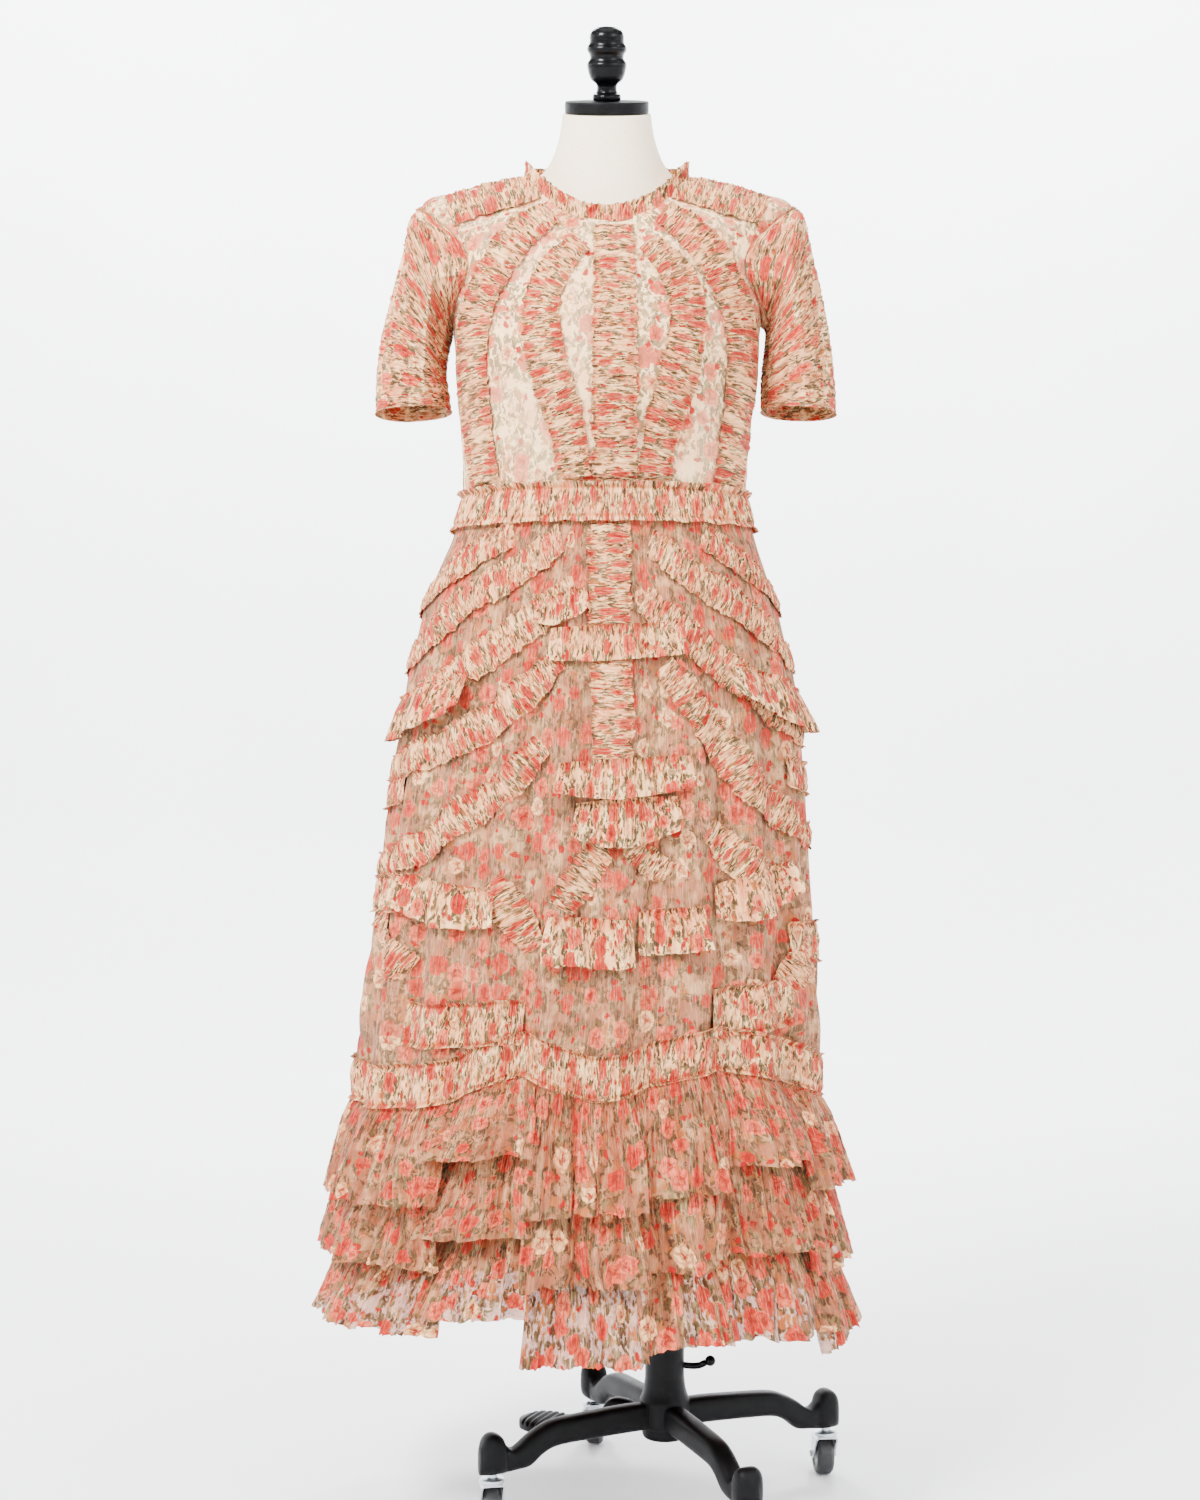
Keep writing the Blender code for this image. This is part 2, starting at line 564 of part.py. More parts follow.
def skirt_grid():
    z = np.array([row.z for row in SKIRT_ROWS])
    angle = -math.pi + np.arange(SKIRT_COLUMNS + 1) * 2 * math.pi / SKIRT_COLUMNS
    height, turn = np.meshgrid(z, angle, indexing="ij")
    return skirt_point(turn, height)


def level_out(angle, z):
    """Horizontal outward direction of the skirt, folds left out."""
    row = smooth_rows(SKIRT_ROWS, np.interp(-z, [-r.z for r in SKIRT_ROWS], range(len(SKIRT_ROWS))))
    depth = np.where(np.sin(angle) < 0, row[..., 2], row[..., 3])
    out = np.stack([np.cos(angle) / row[..., 1] ** 1.3, np.sin(angle) / depth ** 1.3, 0 * z], axis=-1)
    return unit(out)


def on_skirt(grid, angle, z):
    """Points on the skirt's own facets."""
    turns = (angle + math.pi) / (2 * math.pi) % 1.0
    row = np.interp(-z, [-r.z for r in SKIRT_ROWS], np.arange(len(SKIRT_ROWS)))
    return grid_at(grid, row, turns * SKIRT_COLUMNS)


def add_skirt(grid):
    half = SKIRT_COLUMNS // 2
    out = level_out(
        *np.meshgrid(-math.pi + np.arange(SKIRT_COLUMNS + 1) * 2 * math.pi / SKIRT_COLUMNS,
                     [row.z for row in SKIRT_ROWS]))
    for name, first, last in (("skirt_front", 0, half), ("skirt_back", half, SKIRT_COLUMNS)):
        outer = grid[::-1, first:last + 1].copy()
        normal = out[::-1, first:last + 1]
        middle_y = SEAM / 2 * (1 if name == "skirt_back" else -1)
        outer[:, 0, 1] = outer[:, 0, 1] * 0 + middle_y
        outer[:, -1, 1] = outer[:, -1, 1] * 0 + middle_y
        inner = outer - WALL * normal
        inner[:, 0, 1] = middle_y
        inner[:, -1, 1] = middle_y
        wall(name, outer, inner, "tulle", ring=False)


def hanging(name, grid, angle, top, drop, spread, pleat, material):
    """A pleated ruffle hanging from its heading on the skirt."""
    top = np.full(len(angle), top)
    head = on_skirt(grid, angle, top)
    out = level_out(angle, top)
    reach = spread + pleat * zigzag(len(angle))
    foot = head - np.outer(drop + 0 * angle, [0, 0, 1]) + reach[:, None] * out
    inner = np.stack([foot, head]) + LIFT * out
    wall(name, inner + WALL * out, inner, material, ring=False)


def pleat_angles(start, end, step):
    """Angles of crests and troughs, with half a gap left open at both ends."""
    degrees = np.linspace(start, end, round((end - start) / step) + 1)
    degrees[0] += SECTION_GAP / 2
    degrees[-1] -= SECTION_GAP / 2
    return np.radians(degrees)


def add_ruffles(grid):
    for item in RUFFLES:
        angle = pleat_angles(item.start, item.end, RUFFLE_STEP)
        drop = item.drop - item.sag * np.linspace(-1, 1, len(angle)) ** 2
        hanging(item.name, grid, angle, item.top, drop, item.spread, item.pleat, "tulle_ruched")


def heading_rise(angle):
    """How far the band and the tiers are raised round the front, read between the table's angles."""
    degrees = (np.degrees(angle) + 200) % 360 - 200
    at = np.interp(degrees, [row.angle for row in HEADING_RISES], np.arange(len(HEADING_RISES)))
    return smooth_rows(HEADING_RISES, at)[..., 1]


def add_tiers(grid):
    for tier in TIERS:
        for part in SECTIONS:
            angle = pleat_angles(part.start, part.end, TIER_STEP)
            low = np.linspace(part.low_start, part.low_end, len(angle))
            hanging(f"{tier.name}_{part.name}", grid, angle, tier.top + heading_rise(angle), tier.drop + low,
                    tier.spread, tier.pleat, "tulle_tier")


def add_heading_band(grid):
    columns = SKIRT_COLUMNS
    angle = -math.pi + np.arange(columns) * 2 * math.pi / columns
    height, turn = np.meshgrid([HEADING_BOTTOM, HEADING_TOP], angle, indexing="ij")
    height = height + heading_rise(angle)
    out = level_out(turn, height)
    inner = on_skirt(grid, turn, height) + LIFT * out
    raised = GATHER * zigzag(columns)[:, None]
    wall("heading_band", inner + (WALL + raised) * out, inner, "tulle_ruched", ring=True)


def add_skirt_strip(grid):
    rows = 17
    z = np.linspace(SKIRT_STRIP_BOTTOM, SKIRT_STRIP_TOP, rows)
    share = np.linspace(-0.5, 0.5, 4)
    spread = SKIRT_STRIP_WIDTH / SKIRT_ROWS[2].front
    angle = math.radians(SKIRT_STRIP_ANGLE) + np.outer(np.full(rows, spread), share)
    height = np.repeat(z[:, None], len(share), axis=1)
    out = level_out(angle, height)
    inner = on_skirt(grid, angle, height) + LIFT * out
    raised = GATHER * (np.arange(rows) % 2)[:, None, None]
    wall("strip_skirt", inner + (WALL + raised) * out, inner, "tulle_ruched", ring=False)


def add_waistband():
    """Gathered band with a small frill along its upper and lower edge."""
    columns = 36
    angle = -math.pi + np.arange(columns) * 2 * math.pi / columns
    top = body_point(angle, np.zeros(columns))
    top[:, 2] = BAND_TOP
    low = skirt_point(angle, np.full(columns, SKIRT_ROWS[0].z))
    out = level_out(angle, low[:, 2])
    top, low = top + BAND_EASE * out, low - 0.0012 * out
    low[:, 2] = BAND_BOTTOM
    frill_low = low + (BAND_FRILL_OUT + BAND_DIP) * out - np.array([0, 0, BAND_FRILL_RISE])
    frill_top = top + BAND_FRILL_OUT * out + np.array([0, 0, BAND_FRILL_RISE])
    outer = np.stack([frill_low, low, top, frill_top])
    wall("waistband", outer, outer - WALL * out, "tulle_ruched", ring=True)


# Dress form


def form_angles(row):
    """Angles round the form at a body row: each column of the bodice, and one under each armhole."""
    panels = [(-math.pi, 0.0, FRONT_COLUMNS), (0.0, math.pi / 2, BACK_COLUMNS),
              (math.pi / 2, math.pi, BACK_COLUMNS)]
    front, right, left = (bodice_angle(np.full(n, row), np.linspace(0, 1, n), a, b) for a, b, n in panels)
    return np.concatenate([[-math.pi], front, [0.0], right, left[1:]])


def add_torso():
    rings = []
    for row in FORM_LOW_ROWS:
        rings.append(loop_point(form_angles(0.0), np.array([row] * len(form_angles(0.0)), float)))
    for row in bodice_rows():
        angle = form_angles(row)
        at = np.full(len(angle), row)
        rings.append(body_point(angle, at) - (WALL + FORM_GAP) * outward(body_point, angle, at))
    for row in NECK_ROWS:
        angle = form_angles(float(NECK_ROW))
        rings.append(loop_point(angle, np.array([row] * len(angle), float), rise=1.0))
    solid_of_rings("torso", np.stack(rings), "linen")


def add_neck_cap():
    top = NECK_ROWS[-1]
    foot = np.array([top.x, top.y, (top.front_z + top.back_z) / 2 + SEAM])
    tilt = math.atan2(top.back_z - top.front_z, top.front + top.back)
    cap = [(CAP_RADIUS - 0.002, 0.0), (CAP_RADIUS, 0.002), (CAP_RADIUS, CAP_THICK - 0.002),
           (CAP_RADIUS - 0.002, CAP_THICK)]
    turned("neck_cap", cap, foot, "black_paint", sides=20, tilt=tilt)
    lift = CAP_THICK + 0.0003
    seat = foot + lift * np.array([0, -math.sin(tilt), math.cos(tilt)])
    turned("finial", FINIAL_PROFILE, seat, "black_gloss", sides=16, tilt=tilt)


# Stand


def bar(rows, direction, start, name, material, corner=0.72):
    """A cast bar along a horizontal direction, its rounded sections given row by row."""
    turn = (np.arange(8) + 0.5) * 2 * math.pi / 8
    ahead = np.array([math.cos(direction), math.sin(direction), 0])
    aside = np.array([-ahead[1], ahead[0], 0])
    wide = np.sign(np.cos(turn)) * np.abs(np.cos(turn)) ** corner
    tall = np.sign(np.sin(turn)) * np.abs(np.sin(turn)) ** corner
    wide, tall = wide / wide.max(), tall / tall.max()
    rings = []
    for row in rows:
        middle, height = (row.top + row.bottom) / 2, (row.top - row.bottom) / 2
        rings.append(np.array(start) + row.out * ahead + np.outer(wide * row.half_width, aside)
                     + np.outer(middle + tall * height, [0, 0, 1]))
    return solid_of_rings(name, np.stack(rings), material)


def add_base():
    """The cast base: a hollow column on a hub, and four legs fused to it."""
    profile = [
        (BORE_RADIUS, COLUMN_TOP), (BORE_RADIUS, BORE_BOTTOM), (0.0, BORE_BOTTOM),
        (0.0, HUB_BOTTOM), (0.024, HUB_BOTTOM), (0.0265, HUB_BOTTOM + 0.004), (0.0265, 0.090),
        (0.0290, 0.094), (0.0290, 0.122), (0.0245, 0.136), (COLUMN_RADIUS, 0.150),
        (COLUMN_RADIUS, COLUMN_TOP),
    ]
    sides = 20
    mesh = bmesh.new()
    angle = (np.arange(sides) + 0.5) * 2 * math.pi / sides
    rings = []
    for radius, z in profile:
        if radius == 0:
            rings.append([mesh.verts.new((COLUMN_X, COLUMN_Y, z))])
        else:
            ring = np.stack([COLUMN_X + radius * np.cos(angle), COLUMN_Y + radius * np.sin(angle),
                             np.full(sides, z)], axis=-1)
            rings.append([mesh.verts.new(point) for point in ring])
    for here, there in zip(rings, rings[1:] + rings[:1]):
        if len(here) == 1 and len(there) == 1:
            continue
        for k in range(sides):
            corners = [here[k % len(here)], there[k % len(there)], there[(k + 1) % len(there)],
                       here[(k + 1) % len(here)]]
            mesh.faces.new(list(dict.fromkeys(corners)))
    bmesh.ops.recalc_face_normals(mesh, faces=mesh.faces)
    data = bpy.data.meshes.new("base")
    mesh.to_mesh(data)
    mesh.free()
    data.shade_smooth()
    data.set_sharp_from_angle(angle=math.radians(40))
    data.materials.append(finish("black_paint"))
    base = bpy.data.objects.new("base", data)
    bpy.context.scene.collection.objects.link(base)
    for k in range(4):
        direction = math.radians(FIRST_LEG_ANGLE + 90 * k)
        leg = bar(LEG_ROWS, direction, (COLUMN_X, COLUMN_Y, 0), f"leg_{LEG_NAMES[k]}_cutter", "black_paint")
        leg.hide_render = True
        leg.display_type = "WIRE"
        union = base.modifiers.new(f"leg_{k}", "BOOLEAN")
        union.operation = "UNION"
        union.solver = "EXACT"
        union.object = leg
    return base


def add_pole():
    rise = FORM_LOW_ROWS[0].side_z - 0.0003
    profile = [(POLE_RADIUS, POLE_BOTTOM), (POLE_RADIUS, rise - FLANGE_THICK),
               (FLANGE_RADIUS, rise - FLANGE_THICK), (FLANGE_RADIUS, rise)]
    turned("pole", profile, (COLUMN_X, COLUMN_Y, 0), "black_paint", sides=20)


def add_caster(name, leg_angle, trail_angle):
    """A fork with its washer and stem under the leg's end, and a wheel between its cheeks."""
    out = math.radians(leg_angle)
    centre = np.array([COLUMN_X + CASTER_CIRCLE * math.cos(out), COLUMN_Y + CASTER_CIRCLE * math.sin(out), 0])
    trail = math.radians(trail_angle)
    back = np.array([math.cos(trail), math.sin(trail), 0])
    side = np.array([-back[1], back[0], 0])
    axle = centre + TRAIL * back + np.array([0, 0, WHEEL_RADIUS])
    reach = WHEEL_HALF_WIDTH + FORK_GAP

    turn = (np.arange(WHEEL_SIDES) + 0.5) * 2 * math.pi / WHEEL_SIDES
    rim = WHEEL_RADIUS / math.cos(math.pi / WHEEL_SIDES)
    sections = [(-WHEEL_HALF_WIDTH, rim - 0.0025), (-WHEEL_HALF_WIDTH + 0.002, rim),
                (WHEEL_HALF_WIDTH - 0.002, rim), (WHEEL_HALF_WIDTH, rim - 0.0025)]
    rings = [axle + across * side + radius * (np.outer(np.sin(turn), back)
             + np.outer(-np.cos(turn), [0, 0, 1])) for across, radius in sections]
    solid_of_rings(f"wheel_{name}", np.stack(rings), "rubber")

    # The fork's cheeks taper from the plate to the axle.
    low, top = WHEEL_RADIUS - 0.005, FORK_TOP - 0.0045
    outline = [(-reach - CHEEK, low), (-reach, low), (-reach, top - CHEEK), (reach, top - CHEEK),
               (reach, low), (reach + CHEEK, low), (reach + CHEEK, top), (-reach - CHEEK, top)]
    front = np.array([-0.013 if z > low + 0.01 else TRAIL - 0.008 for _, z in outline])
    rear = np.array([0.016 if z > low + 0.01 else TRAIL + 0.008 for _, z in outline])
    places = [centre + s * side + np.array([0, 0, z]) for s, z in outline]
    points = [p + f * back for p, f in zip(places, front)] + [p + r * back for p, r in zip(places, rear)]
    n = len(outline)
    faces = [(k, (k + 1) % n, n + (k + 1) % n, n + k) for k in range(n)]
    quads = [(0, 1, 2, 7), (2, 3, 6, 7), (3, 4, 5, 6)]
    faces += [tuple(reversed(q)) for q in quads] + [tuple(n + k for k in q) for q in quads]
    fork = add_object(f"fork_{name}", points, faces, "zinc", smooth=False)
    mesh = bmesh.new()
    mesh.from_mesh(fork.data)
    bmesh.ops.recalc_face_normals(mesh, faces=mesh.faces)
    mesh.to_mesh(fork.data)
    mesh.free()
    stem = [(0.0128, top - 0.001), (WASHER_RADIUS, top + 0.0005), (WASHER_RADIUS, FORK_TOP),
            (STEM_RADIUS, FORK_TOP + 0.0008), (STEM_RADIUS, LEG_ROWS[-1].bottom - 0.0003)]
    post = turned(f"fork_{name}_stem", stem, centre, "zinc", sides=12)
    post.hide_render = True
    post.display_type = "WIRE"
    union = fork.modifiers.new("stem", "BOOLEAN")
    union.operation = "UNION"
    union.solver = "EXACT"
    union.object = post


def add_lever():
    """A short rod out of the column that turns up into a ball."""
    root = np.array([COLUMN_X + COLUMN_RADIUS + 0.0003, COLUMN_Y, LEVER_HEIGHT])
    path = [root, root + [0.010, 0, -0.0010], root + [0.018, -0.001, 0.0],
            root + [LEVER_REACH, -0.004, 0.0040]]
    radii = [LEVER_RADIUS, LEVER_RADIUS, LEVER_RADIUS, LEVER_RADIUS * 0.9]
    ahead = unit(np.array([1.0, -0.2, 0.45]))
    end = path[-1]
    for k in range(1, 6):
        along = -math.cos(math.pi * k / 6)
        path.append(end + ahead * LEVER_BALL * (along + 1))
        radii.append(LEVER_BALL * math.sin(math.pi * k / 6))
    path, radii = np.array(path), np.array(radii)
    forward = unit(np.gradient(path, axis=0))
    aside = unit(np.cross(forward, [0, 0, 1.0]))
    up = np.cross(aside, forward)
    turn = np.arange(12) * 2 * math.pi / 12
    rings = path[:, None] + radii[:, None, None] * (np.cos(turn)[None, :, None] * aside[:, None]
                                                    + np.sin(turn)[None, :, None] * up[:, None])
    solid_of_rings("lever", rings[:, ::-1], "black_gloss")


clear_scene()
add_bodice()
add_collar()
add_sleeve("sleeve_right", 1)
add_sleeve("sleeve_left", -1)
SKIRT = skirt_grid()
add_skirt(SKIRT)
add_waistband()
add_skirt_strip(SKIRT)
add_ruffles(SKIRT)
add_heading_band(SKIRT)
add_tiers(SKIRT)
add_torso()
add_neck_cap()
add_base()
add_pole()
for index, leg in enumerate(LEG_NAMES):
    add_caster(leg, FIRST_LEG_ANGLE + 90 * index, TRAIL_ANGLES[index])
bar(PEDAL_ROWS, math.radians(PEDAL_ANGLE), (COLUMN_X, COLUMN_Y, 0), "pedal", "black_paint")
add_lever()
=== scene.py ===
import math

import bpy
import numpy as np
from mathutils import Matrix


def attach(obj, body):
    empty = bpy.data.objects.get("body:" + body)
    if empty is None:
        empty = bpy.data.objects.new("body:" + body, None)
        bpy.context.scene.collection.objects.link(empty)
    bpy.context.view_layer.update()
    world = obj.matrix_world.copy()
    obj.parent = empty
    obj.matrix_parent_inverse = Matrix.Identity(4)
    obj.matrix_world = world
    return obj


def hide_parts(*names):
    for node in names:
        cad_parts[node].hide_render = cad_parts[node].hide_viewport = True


# The looks of a ruched, ruffled and tiered tulle dress on its dress form and caster stand.
# Every piece is a grid of points: rows run down or along it, columns run across or round it.
# The map "cloth" holds flat cloth in metres: its first value runs along the folds, its second across.
# Angles go round the figure from the picture's right, with the front at -90 degrees.

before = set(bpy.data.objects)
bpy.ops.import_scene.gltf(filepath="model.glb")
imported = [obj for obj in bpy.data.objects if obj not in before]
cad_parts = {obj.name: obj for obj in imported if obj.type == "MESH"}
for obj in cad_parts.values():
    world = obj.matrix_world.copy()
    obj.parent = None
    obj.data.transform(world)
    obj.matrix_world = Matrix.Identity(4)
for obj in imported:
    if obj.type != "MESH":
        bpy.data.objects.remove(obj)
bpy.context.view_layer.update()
form = "form"
up = np.array([0, 0, 1.0])


def tint(red, green, blue):
    # a screen colour, 0 to 255, as a linear colour
    linear = [((v / 255 + 0.055) / 1.055) ** 2.4 if v > 10 else v / 255 / 12.92 for v in (red, green, blue)]
    return (*linear, 1)


def metres(rows):
    # a table written in millimetres
    return np.array(rows, float) / 1000


# Shader expressions


def connect(tree, node, sockets):
    # every socket gets a link if its value is a Wire, and else that constant
    for key, value in sockets.items():
        if isinstance(value, Wire):
            tree.links.new(value.socket, node.inputs[key])
        else:
            node.inputs[key].default_value = value


class Wire:
    # one output of a node tree; + - * / on it add Math nodes, with plain numbers on either side
    def __init__(self, tree, socket=None):
        self.tree = tree
        self.socket = socket

    def node(self, kind, settings=None, sockets=None, out=0):
        # any node: its settings come first, then the values or links of its sockets
        made = self.tree.nodes.new(kind)
        for key, value in (settings or {}).items():
            setattr(made, key, value)
        connect(self.tree, made, sockets or {})
        return Wire(self.tree, made.outputs[out])

    def maths(self, operation, *values):
        return self.node("ShaderNodeMath", {"operation": operation}, dict(enumerate(values)))

    def __add__(self, other):
        return self.maths("ADD", self, other)

    def __sub__(self, other):
        return self.maths("SUBTRACT", self, other)

    def __rsub__(self, other):
        return self.maths("SUBTRACT", other, self)

    def __mul__(self, other):
        return self.maths("MULTIPLY", self, other)

    def __truediv__(self, other):
        return self.maths("DIVIDE", self, other)

    __radd__ = __add__
    __rmul__ = __mul__

    def upTo(self, most):
        return self.maths("MINIMUM", self, most)

    def larger(self, other):
        return self.maths("MAXIMUM", self, other)

    def between(self, low, high, start=0.0, end=1.0):
        # a soft step of this value from low to high, turned into start to end
        return self.node("ShaderNodeMapRange", {"interpolation_type": "SMOOTHSTEP"},
                         {"Value": self, "From Min": low, "From Max": high, "To Min": start, "To Max": end})

    def mix(self, first, second):
        # a colour mix with this value as its share
        return self.node("ShaderNodeMix", {"data_type": "RGBA"}, {0: self, 6: first, 7: second}, out=2)

    def part(self, letter):
        return self.node("ShaderNodeSeparateXYZ", None, {0: self}, out="XYZ".index(letter))

    def stretched(self, across, down, turn=0.0):
        # a flat coordinate turned and scaled
        return self.node("ShaderNodeMapping", None,
                         {"Vector": self, "Rotation": (0, 0, turn), "Scale": (across, down, 1)})

    def noise(self, scale, detail=2.0, roughness=0.5, out=0, space="2D"):
        return self.node("ShaderNodeTexNoise", {"noise_dimensions": space},
                         {"Vector": self, "Scale": scale, "Detail": detail, "Roughness": roughness}, out=out)

    def cells(self, scale, feature="F1", out="Distance", spread=0.9):
        return self.node("ShaderNodeTexVoronoi", {"voronoi_dimensions": "2D", "feature": feature},
                         {"Vector": self, "Scale": scale, "Randomness": spread}, out=out)

    def relief(self, strength, distance):
        # this value as a surface height
        return self.node("ShaderNodeBump", None, {"Strength": strength, "Distance": distance, "Height": self})


def newMaterial(name):
    # a material, an empty Wire on its tree, and its shader
    material = bpy.data.materials.new(name)
    material.use_nodes = True
    tree = material.node_tree
    return material, Wire(tree), tree.nodes["Principled BSDF"]


# Floral print: loose roses, leaves round them, buds and twigs, laid out by cells of random colour

rosePrint = {
    "roseSpacing": 0.033, "leafSpacing": 0.0118, "budSpacing": 0.0175,
    "rosePetal": tint(194, 40, 24), "roseLight": tint(232, 114, 78), "roseDeep": tint(140, 8, 8),
    "creamRose": tint(250, 198, 134), "bud": tint(160, 14, 12), "leafGreen": tint(72, 66, 36),
    "leafBrown": tint(48, 40, 24), "leafPale": tint(112, 98, 58), "ochre": tint(164, 92, 38),
    "twig": tint(54, 44, 28), "blush": tint(242, 158, 110), "cream": tint(254, 212, 150),
    # turn, stretch and share of the leaf rate for each of the two sets of leaves
    "leafSets": ((0.6, 2.2, 1.0), (-0.9, 2.0, 1.31)),
}


def roses(at, kit):
    # a rose near the middle of most cells: petals of the cell's own colour, dark folds and a dark heart
    rate = 1 / kit["roseSpacing"]
    lot = at.cells(rate, out="Color")
    pick, size, other = lot.part("X"), lot.part("Y"), lot.part("Z")
    near = at.cells(rate) / (0.25 + 0.15 * size)
    rose = near.between(0.88, 1.04, 1.0, 0.0) * pick.between(0.14, 0.16)
    tone = at.noise(190, 3.0, 0.65)
    petal = (tone * 0.8 + other * 0.5).between(0.50, 0.86).mix(kit["rosePetal"], kit["roseLight"])
    petal = pick.between(0.86, 0.88).mix(petal, kit["creamRose"])
    folds = at.cells(rate * 3.9, "DISTANCE_TO_EDGE").between(0.03, 0.24, 1.0, 0.0)
    heart = near.between(0.15, 0.75, 1.0, 0.0) * (0.35 + 0.65 * tone.between(0.42, 0.6))
    petal = (folds * 0.55 + heart * 0.95).upTo(0.95).mix(petal, kit["roseDeep"])
    return rose, petal, near.between(0.92, 1.08) * near.between(1.55, 2.1, 1.0, 0.0)


def printColour(at, ground, leafy, patchy, kit=rosePrint):
    # ground, twigs, leaves, buds and roses laid over each other, and the share that is inked
    wobble = at.noise(95, 3.0, 0.6, out=1)
    bent = at.node("ShaderNodeVectorMath", {"operation": "MULTIPLY_ADD"},
                   {0: wobble, 1: (0.012, 0.012, 0), 2: at})
    rose, petal, aroundRose = roses(bent, kit)
    leafSets = []
    for turn, stretch, more in kit["leafSets"]:
        slanted = bent.stretched(1.0, stretch, turn)
        chosen = slanted.cells(more / kit["leafSpacing"], out="Color").part("X").between(0.26, 0.3)
        leafSets.append(slanted.cells(more / kit["leafSpacing"]).between(0.38, 0.50, 1.0, 0.0) * chosen)
    where = aroundRose + at.noise(42).between(0.46, 0.58) * 0.8
    leaves = leafSets[0].larger(leafSets[1]) * where.upTo(1.0) * leafy
    leafTone = bent.noise(130).between(0.44, 0.56).mix(kit["leafGreen"], kit["leafBrown"])
    leafTone = bent.noise(75, 1.0).between(0.57, 0.64).mix(leafTone, kit["leafPale"])
    leafTone = bent.noise(58, 1.0).between(0.60, 0.66).mix(leafTone, kit["ochre"])
    line = bent.noise(48, 2.5, 0.6) - 0.5
    twigs = line.maths("ABSOLUTE", line).between(0.004, 0.013, 1.0, 0.0) * at.noise(17, 1.0).between(0.44, 0.54)
    budRate = 1 / kit["budSpacing"]
    budChosen = bent.cells(budRate, out="Color").part("Z").between(0.60, 0.64)
    buds = bent.cells(budRate).between(0.15, 0.24, 1.0, 0.0) * budChosen
    colour = (at.noise(22).between(0.42, 0.62) * 0.6 * patchy).mix(ground, kit["blush"])
    colour = (at.noise(31).between(0.50, 0.62) * patchy).mix(colour, kit["cream"])
    colour = (twigs * 0.8).mix(colour, kit["twig"])
    colour = (leaves * 0.95).mix(colour, leafTone)
    colour = (buds * 0.95).mix(colour, kit["bud"])
    colour = (rose * (0.35 + 0.6 * leafy)).mix(colour, petal)
    return colour, rose.larger(leaves).larger(buds)


def tulleMaterial(name, ground, leafy, creaseShadeAndRelief, patchy=1.0, sheer=0.0, faded=0.0):
    # the print with painted shade in the troughs and along fine creases, which are also bumped, and a painted
    # highlight on the crests;
    # faded lays a pale veil over it, and sheer opens the net where it is neither inked nor gathered
    material, wire, shader = newMaterial(name)
    at = wire.node("ShaderNodeUVMap", {"uv_map": "cloth"})
    gathered = wire.node("ShaderNodeAttribute", {"attribute_name": "gather"}, out=2)
    crest = wire.node("ShaderNodeAttribute", {"attribute_name": "crest"}, out=2)
    colour, inked = printColour(at, ground, leafy, patchy)
    crease = at.stretched(30, 360).noise(1.0, 3.0, 0.65)
    fine = at.stretched(70, 900).noise(1.0, 2.0, 0.6)
    mottle = at.noise(900, 2.0, 0.7)
    light = crease.between(0.30, 0.60) * 0.6 + fine.between(0.3, 0.7) * 0.25 + mottle * 0.15
    weight = gathered * creaseShadeAndRelief
    if faded:
        veil = at.stretched(9, 14).noise(1.0).between(0.38, 0.66) * faded
        colour = veil.mix(colour, tint(254, 222, 176))
    # painted shade: the print multiplied by a warm brown in the troughs and along the creases
    troughShade = wire.node("ShaderNodeMix", {"data_type": "RGBA", "blend_type": "MULTIPLY"},
                       {0: 1.0, 6: colour, 7: tint(192, 124, 84)}, out=2)
    shade = (1 - light) * weight * 0.55 + (1 - crest) * 0.75
    colour = shade.upTo(0.9).mix(colour, troughShade)
    # painted highlight: a pale cream laid on the tops of the crests
    colour = (light.between(0.70, 0.98) * weight * 0.5 * crest).mix(colour, tint(255, 220, 172))
    height = crease * 0.7 * weight + fine * 0.3 * weight + mottle * 0.14
    connect(wire.tree, shader, {"Base Color": colour, "Roughness": 0.85, "Sheen Weight": 0.04,
                                "Specular IOR Level": 0.12, "Normal": height.relief(0.6, 0.0014)})
    if sheer:
        net = at.noise(420, 2.0, 0.6).between(0.3, 0.75)
        alpha = (1 - sheer) + inked * sheer * 0.7 + net * sheer * 0.4 + gathered * sheer * 0.8
        connect(wire.tree, shader, {"Alpha": alpha.upTo(1.0)})
    return material


def linenMaterial(name):
    # two sets of fine threads on a cream ground
    material, wire, shader = newMaterial(name)
    at = wire.node("ShaderNodeTexCoord", out=3)
    threads = [at.node("ShaderNodeMapping", None, {"Vector": at, "Scale": scale}).noise(1.0, space="3D")
               for scale in ((1800, 1800, 160), (150, 150, 1800))]
    weave = threads[0] * 0.5 + threads[1] * 0.5
    colour = weave.between(0.35, 0.65).mix(tint(236, 214, 184), tint(250, 232, 204))
    colour = (at.noise(9.0, 3.0, space="3D").between(0.35, 0.7) * 0.25).mix(colour, tint(240, 216, 184))
    connect(wire.tree, shader, {"Base Color": colour, "Roughness": 0.9, "Sheen Weight": 0.2,
                                "Normal": weave.relief(0.35, 0.0006)})
    return material


def hardMaterial(name, colour, worn, rough, relief, metal=0.0, grain=600.0, gloss=0.5):
    # paint, metal or rubber: a fine surface grain, soft smudges in its gloss, and a lighter worn tone
    material, wire, shader = newMaterial(name)
    at = wire.node("ShaderNodeTexCoord", out=3)
    fine = at.noise(grain, 3.0, 0.6, space="3D")
    wide = at.noise(34.0, 4.0, space="3D")
    connect(wire.tree, shader, {
        "Base Color": (wide.between(0.45, 0.75) * 0.6 + fine.between(0.6, 0.8) * 0.3).mix(colour, worn),
        "Roughness": rough + (wide - 0.5) * 0.22 + (fine - 0.5) * 0.12, "Metallic": metal,
        "Specular IOR Level": gloss, "Normal": fine.relief(0.4, relief)})
    return material


